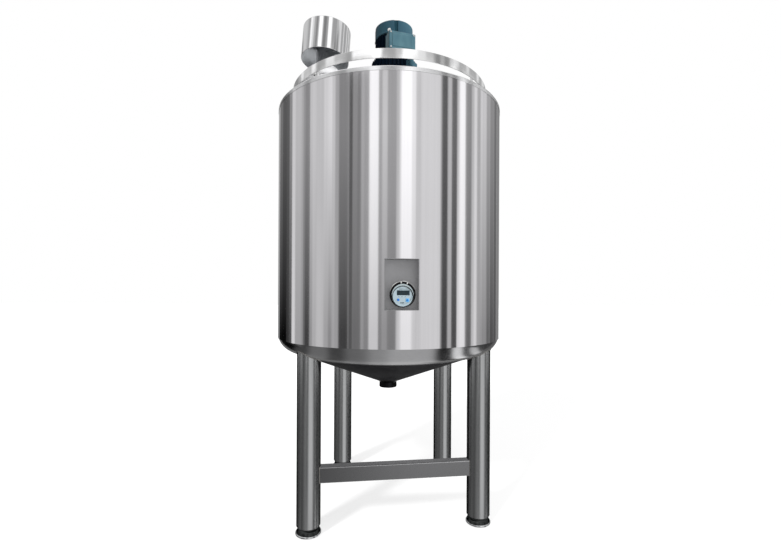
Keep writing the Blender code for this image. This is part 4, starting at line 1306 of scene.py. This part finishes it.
def build_lid(leaning):
    """The domed lid with its rolled edge, its four clamps and the weld round the pipe."""
    low = LID_BOTTOM
    hole = VENT_PIPE_RADIUS + 0.002
    edge = arc((LID_RADIUS - 0.006, low + 0.006), 0.006, -60.0, 100.0, 8)
    outline = [(hole, low), (LID_RADIUS - 0.002, low), *edge]
    for i in range(1, LID_STEPS + 1):
        share = i / LID_STEPS
        height = LID_RIM + LID_RISE * math.sin(math.radians(90.0 * share)) ** LID_BULGE
        outline.append(((LID_RADIUS - 0.009) * (1 - share) + hole * share, low + height))
    turned("domed_lid", outline, "lid", "satin_steel", "vent_lid", place=shift(*VENT))
    near = -LID_RADIUS
    wide = CLAMP_HALF
    out = near - CLAMP_REACH
    with piece("lid_clamps", "screw", "satin_steel") as bm:
        for azimuth in CLAMP_AZIMUTHS:
            frame = facing(azimuth, VENT)
            block(bm, (-wide, out, low - 0.020), (wide, near + 0.001, low - 0.010), 0.002, frame)
            block(bm, (-wide, out, low + 0.0128), (wide, near + 0.010, low + 0.0185), 0.002, frame)
            spot = frame @ shift(y=near - CLAMP_REACH / 2)
            turn(bm, knob(0.0042, low - 0.020, low + 0.026, 0.001), TINY_SIDES, spot)
            turn(bm, section(*HANDWHEEL, low + 0.0186, low + 0.0255, 0.002), POST_SIDES, spot)
    path = [leaning @ point for point in circle(VENT_PIPE_RADIUS + 0.0015, low + 0.083, TUBE_SIDES)]
    weld("pipe_weld", path, 0.003, 0.12)


def build_pipe(leaning):
    """The pipe through the lid, with the arms that carry the hood."""
    wide = VENT_PIPE_RADIUS
    pipe = section(wide - VENT_PIPE_WALL, wide, VENT_PIPE_BOTTOM, VENT_PIPE_TOP, 0.0010)
    low = (-0.0025, -HOOD_RADIUS + HOOD_WALL + GAP * 2, VENT_PIPE_TOP - 0.036)
    high = (0.0025, -wide - GAP, VENT_PIPE_TOP - 0.006)
    with piece("pipe_and_arms", "plate", "satin_steel", "vent_pipe") as bm:
        turn(bm, pipe, TUBE_SIDES, leaning)
        for azimuth in ARM_AZIMUTHS:
            block(bm, low, high, 0.0010, leaning @ facing(azimuth))


def in_hood(centre, normal):
    out = Vector((centre.x, centre.y, 0.0))
    if out.length >= HOOD_RADIUS - HOOD_WALL + 0.0005 or centre.z >= HOOD_TOP + HOOD_CROWN - HOOD_WALL / 2:
        return False
    return normal.z < -0.5 or normal.dot(out) < 0.0


def build_hood(leaning):
    """The hood over the pipe: a cap with a hemmed lower edge, its inside duller than its outside."""
    wall, corner, wide, top = HOOD_WALL, HOOD_CORNER, HOOD_RADIUS, HOOD_TOP
    outline = [
        (wide - wall, HOOD_BOTTOM + 0.001),
        *arc((wide - wall / 2, HOOD_BOTTOM + wall / 2), wall / 2, 190.0, 360.0, 5),
        (wide, HOOD_BOTTOM + 0.06),
        *arc((wide - corner, top - corner), corner, 0.0, 84.0, 8), (wide * 0.5, top + HOOD_CROWN * 0.6),
        (0.0, top + HOOD_CROWN), (0.0, top + HOOD_CROWN - wall), (wide - corner, top - wall),
        (wide - wall, top - corner),
    ]
    turned("hood_cap", outline, "hood", "polished_steel", "vent_hood", sides=BIG_SIDES, place=leaning)
    repaint("hood_cap", "liner", leaning, in_hood)


def build_vent():
    pivot = shift(z=NECK_TOP)
    leaning = shift(*VENT) @ pivot @ spin(VENT_LEAN, "Y") @ spin(-VENT_LEAN, "X") @ pivot.inverted()
    build_neck()
    build_lid(leaning)
    build_pipe(leaning)
    build_hood(leaning)


# Studio


def strip_share(tree, azimuth, centre, half, edge):
    """How much of a strip a direction sees, from its azimuth."""
    away = maths(tree, "PINGPONG", maths(tree, "SUBTRACT", azimuth, centre), 180.0)
    return eased(tree, away, half, half + edge, 1.0, 0.0)


def strip_light(tree, azimuth, high_share):
    """The brightness of the studio's upright strips in a direction."""
    value = blended(tree, high_share, BASE_LIGHT[1], BASE_LIGHT[0])
    for centre, half, high, low in STRIPS:
        share = strip_share(tree, azimuth, centre, half, STRIP_EDGE)
        value = blended(tree, share, value, blended(tree, high_share, low, high))
    return value


def soft_strips(tree, azimuth, value, strips):
    """The brightness of a tier of soft strips, laid over the light between them."""
    for centre, half, edge, brightness in strips:
        value = blended(tree, strip_share(tree, azimuth, centre, half, edge), value, brightness)
    return value


def seen_in_metal(tree, x, y, z):
    """What polished metal shows of the studio: tiers of strips round it, and a darker floor."""
    azimuth = maths(tree, "DEGREES", maths(tree, "ARCTAN2", x, maths(tree, "MULTIPLY", y, -1.0)))
    fan = maths(tree, "DEGREES", maths(tree, "ARCTAN2", x, maths(tree, "SUBTRACT", FAN_POINT, y)))
    strips = strip_light(tree, azimuth, ranged(tree, z, *LOW_TO_HIGH))
    sink = maths(tree, "MULTIPLY", maths(tree, "MULTIPLY", azimuth, azimuth), RING_SINK)
    on_ring = eased(tree, maths(tree, "ADD", z, sink), *RING_TIER)
    upper = blended(tree, on_ring, strips, soft_strips(tree, azimuth, RING_LIGHT, RING_STRIPS))
    hood = soft_strips(tree, azimuth, HOOD_LIGHT, HOOD_STRIPS)
    upper = blended(tree, eased(tree, z, *HOOD_TIER), upper, hood)
    upper = blended(tree, eased(tree, z, *CEILING_TIER), upper, CEILING_LIGHT)
    ground = soft_strips(tree, azimuth, GROUND_LIGHT, GROUND_STRIPS)
    ground = maths(tree, "MULTIPLY", ground, ranged(tree, strips, 0.0, 1.0, *GROUND_ECHO))
    behind = strip_share(tree, azimuth, 180.0, *BEHIND)
    ground = blended(tree, behind, ground, maths(tree, "MULTIPLY", strips, BEHIND_LIGHT))
    under = soft_strips(tree, fan, UNDER_LIGHT, UNDER_STRIPS)
    low = blended(tree, eased(tree, z, *UNDER_TIER, 1.0, 0.0), ground, under)
    return blended(tree, eased(tree, z, *GROUND_TIER, 1.0, 0.0), upper, low)


def soft_glow(tree, x, y, z):
    """The soft light on matt surfaces: from the front right and above, with some from the floor."""
    sideways = maths(tree, "MULTIPLY_ADD", x, GLOW_AIM[0], maths(tree, "MULTIPLY", y, GLOW_AIM[1]))
    aim = maths(tree, "MULTIPLY_ADD", z, GLOW_AIM[2], sideways)
    return maths(tree, "ADD", eased(tree, aim, *GLOW_RANGE), ranged(tree, z, *FLOOR_GLOW))


def build_world():
    world = bpy.data.worlds.new("studio")
    world.use_nodes = True
    tree = world.node_tree
    tree.nodes.clear()
    direction = parts_of(tree, node(tree, "ShaderNodeTexCoord").outputs["Generated"])
    rays = node(tree, "ShaderNodeLightPath").outputs
    metal = seen_in_metal(tree, *direction)
    seen = blended(tree, rays["Is Diffuse Ray"], metal, soft_glow(tree, *direction))
    background = node(tree, "ShaderNodeBackground")
    feed(tree, blended(tree, rays["Is Camera Ray"], seen, 1.0), background.inputs["Color"])
    output = node(tree, "ShaderNodeOutputWorld")
    feed(tree, background.outputs[0], output.inputs["Surface"])
    world.cycles.sampling_method = "NONE"
    bpy.context.scene.world = world


def build_floor():
    """A white floor that takes soft shadows and doesn't show in the metal."""
    bm = bmesh.new()
    bmesh.ops.create_grid(bm, x_segments=1, y_segments=1, size=FLOOR_REACH)
    mesh = bpy.data.meshes.new("floor")
    bm.to_mesh(mesh)
    bm.free()
    floor = placed("floor", mesh)
    floor.location.z = -FLOOR_DROP
    made = blank("pale_floor")
    for socket, value in FLOOR_SHADER.items():
        setting(made, socket, value)
    mesh.materials.append(made)
    floor.visible_glossy = False
    floor.visible_diffuse = False


def gathered(name, members):
    """A collection of objects, by their names."""
    made = bpy.data.collections.new(name)
    for member in members:
        made.objects.link(bpy.data.objects[member])
    return made


def build_lamp(name, kind, power, lit, rotation):
    """A lamp that lights only some pieces and shows in no reflection."""
    data = bpy.data.lights.new(name, kind)
    data.energy = power
    lamp = placed(name, data)
    lamp.rotation_euler = rotation
    lamp.visible_glossy = False
    lamp.light_linking.receiver_collection = gathered("lit_by_" + name, lit)
    return lamp


def build_spot(name, lit, place, target, power, softness):
    """A soft spot lamp that aims at a point."""
    aim = (Vector(target) - Vector(place)).to_track_quat("-Z", "Y").to_euler()
    lamp = build_lamp(name, "SPOT", power, lit, aim)
    lamp.location = place
    lamp.data.spot_size = math.radians(LAMP_CONE)
    lamp.data.spot_blend = LAMP_BLEND
    lamp.data.shadow_soft_size = softness
    return lamp


def build_lights():
    """A key light that only draws the soft shadows on the floor, and two lamps that fill hollows."""
    key = build_lamp("key", "SUN", SUN_POWER, ("floor",), [math.radians(angle) for angle in SUN_TURN])
    key.data.angle = math.radians(SUN_ANGLE)
    lamp = build_spot("hood_lamp", HOOD_LAMP_REACHES, *HOOD_LAMP)
    lamp.light_linking.blocker_collection = gathered("shading_hood_lamp", HOOD_LAMP_REACHES)
    lamp = build_spot("pocket_lamp", ("thermometer_pocket",), *POCKET_LAMP)
    lamp.data.use_shadow = False


def build_camera():
    data = bpy.data.cameras.new("camera")
    camera = placed("camera", data)
    camera.location = (0.0, -CAMERA_DISTANCE, CAMERA_HEIGHT)
    camera.rotation_euler = (math.radians(90.0), math.radians(CAMERA_ROLL), 0.0)
    data.sensor_width = SENSOR
    data.lens = SENSOR * FOCAL_PIXELS / PICTURE_WIDTH
    data.shift_x = (PICTURE_WIDTH / 2 - AXIS_PIXEL[0]) / PICTURE_WIDTH
    data.shift_y = (AXIS_PIXEL[1] - PICTURE_HEIGHT / 2) / PICTURE_WIDTH
    bpy.context.scene.camera = camera


# The finish of the CAD nodes that stay in view: by name, or else by their slot in the record
FINISH_OF_SLOT = {
    "polished_steel": "polished",
    "satin_steel": "plate",
    "dark_steel": "black",
    "motor_paint": "paint",
    "dial_plate": "dial",
}
# The finned frame and the end shield get the near-black copy of the motor paint: painted shade
FINISH_OF_NODE = {"motor_frame": "fin_paint", "motor_end_shield": "fin_paint", "thermometer_pocket": "pocket"}


def dress_nodes(frame):
    slots = {part["node"]: part["material_slot"] for part in frame["record"]["subparts"]}
    for name, obj in frame["nodes"].items():
        finish = finishes[FINISH_OF_NODE.get(name, FINISH_OF_SLOT[slots[name]])]
        obj.visible_glossy = slots[name] != "motor_paint"
        for slot in obj.material_slots:
            slot.material = finish


def main():
    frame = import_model()
    make_finishes()
    dress_nodes(frame)
    build_cladding()
    build_seam()
    build_bottom()
    build_outlet()
    build_top()
    build_guard()
    for where, azimuth in LEG_AZIMUTHS.items():
        build_leg(where, azimuth)
        build_foot(where, azimuth)
    build_crossbar()
    build_thermometer()
    build_pad()
    build_gear()
    build_motor()
    build_cowl()
    build_terminal_box()
    build_gland()
    build_vent()
    build_world()
    build_floor()
    build_lights()
    build_camera()
    bpy.context.scene.view_settings.view_transform = "Standard"


main()
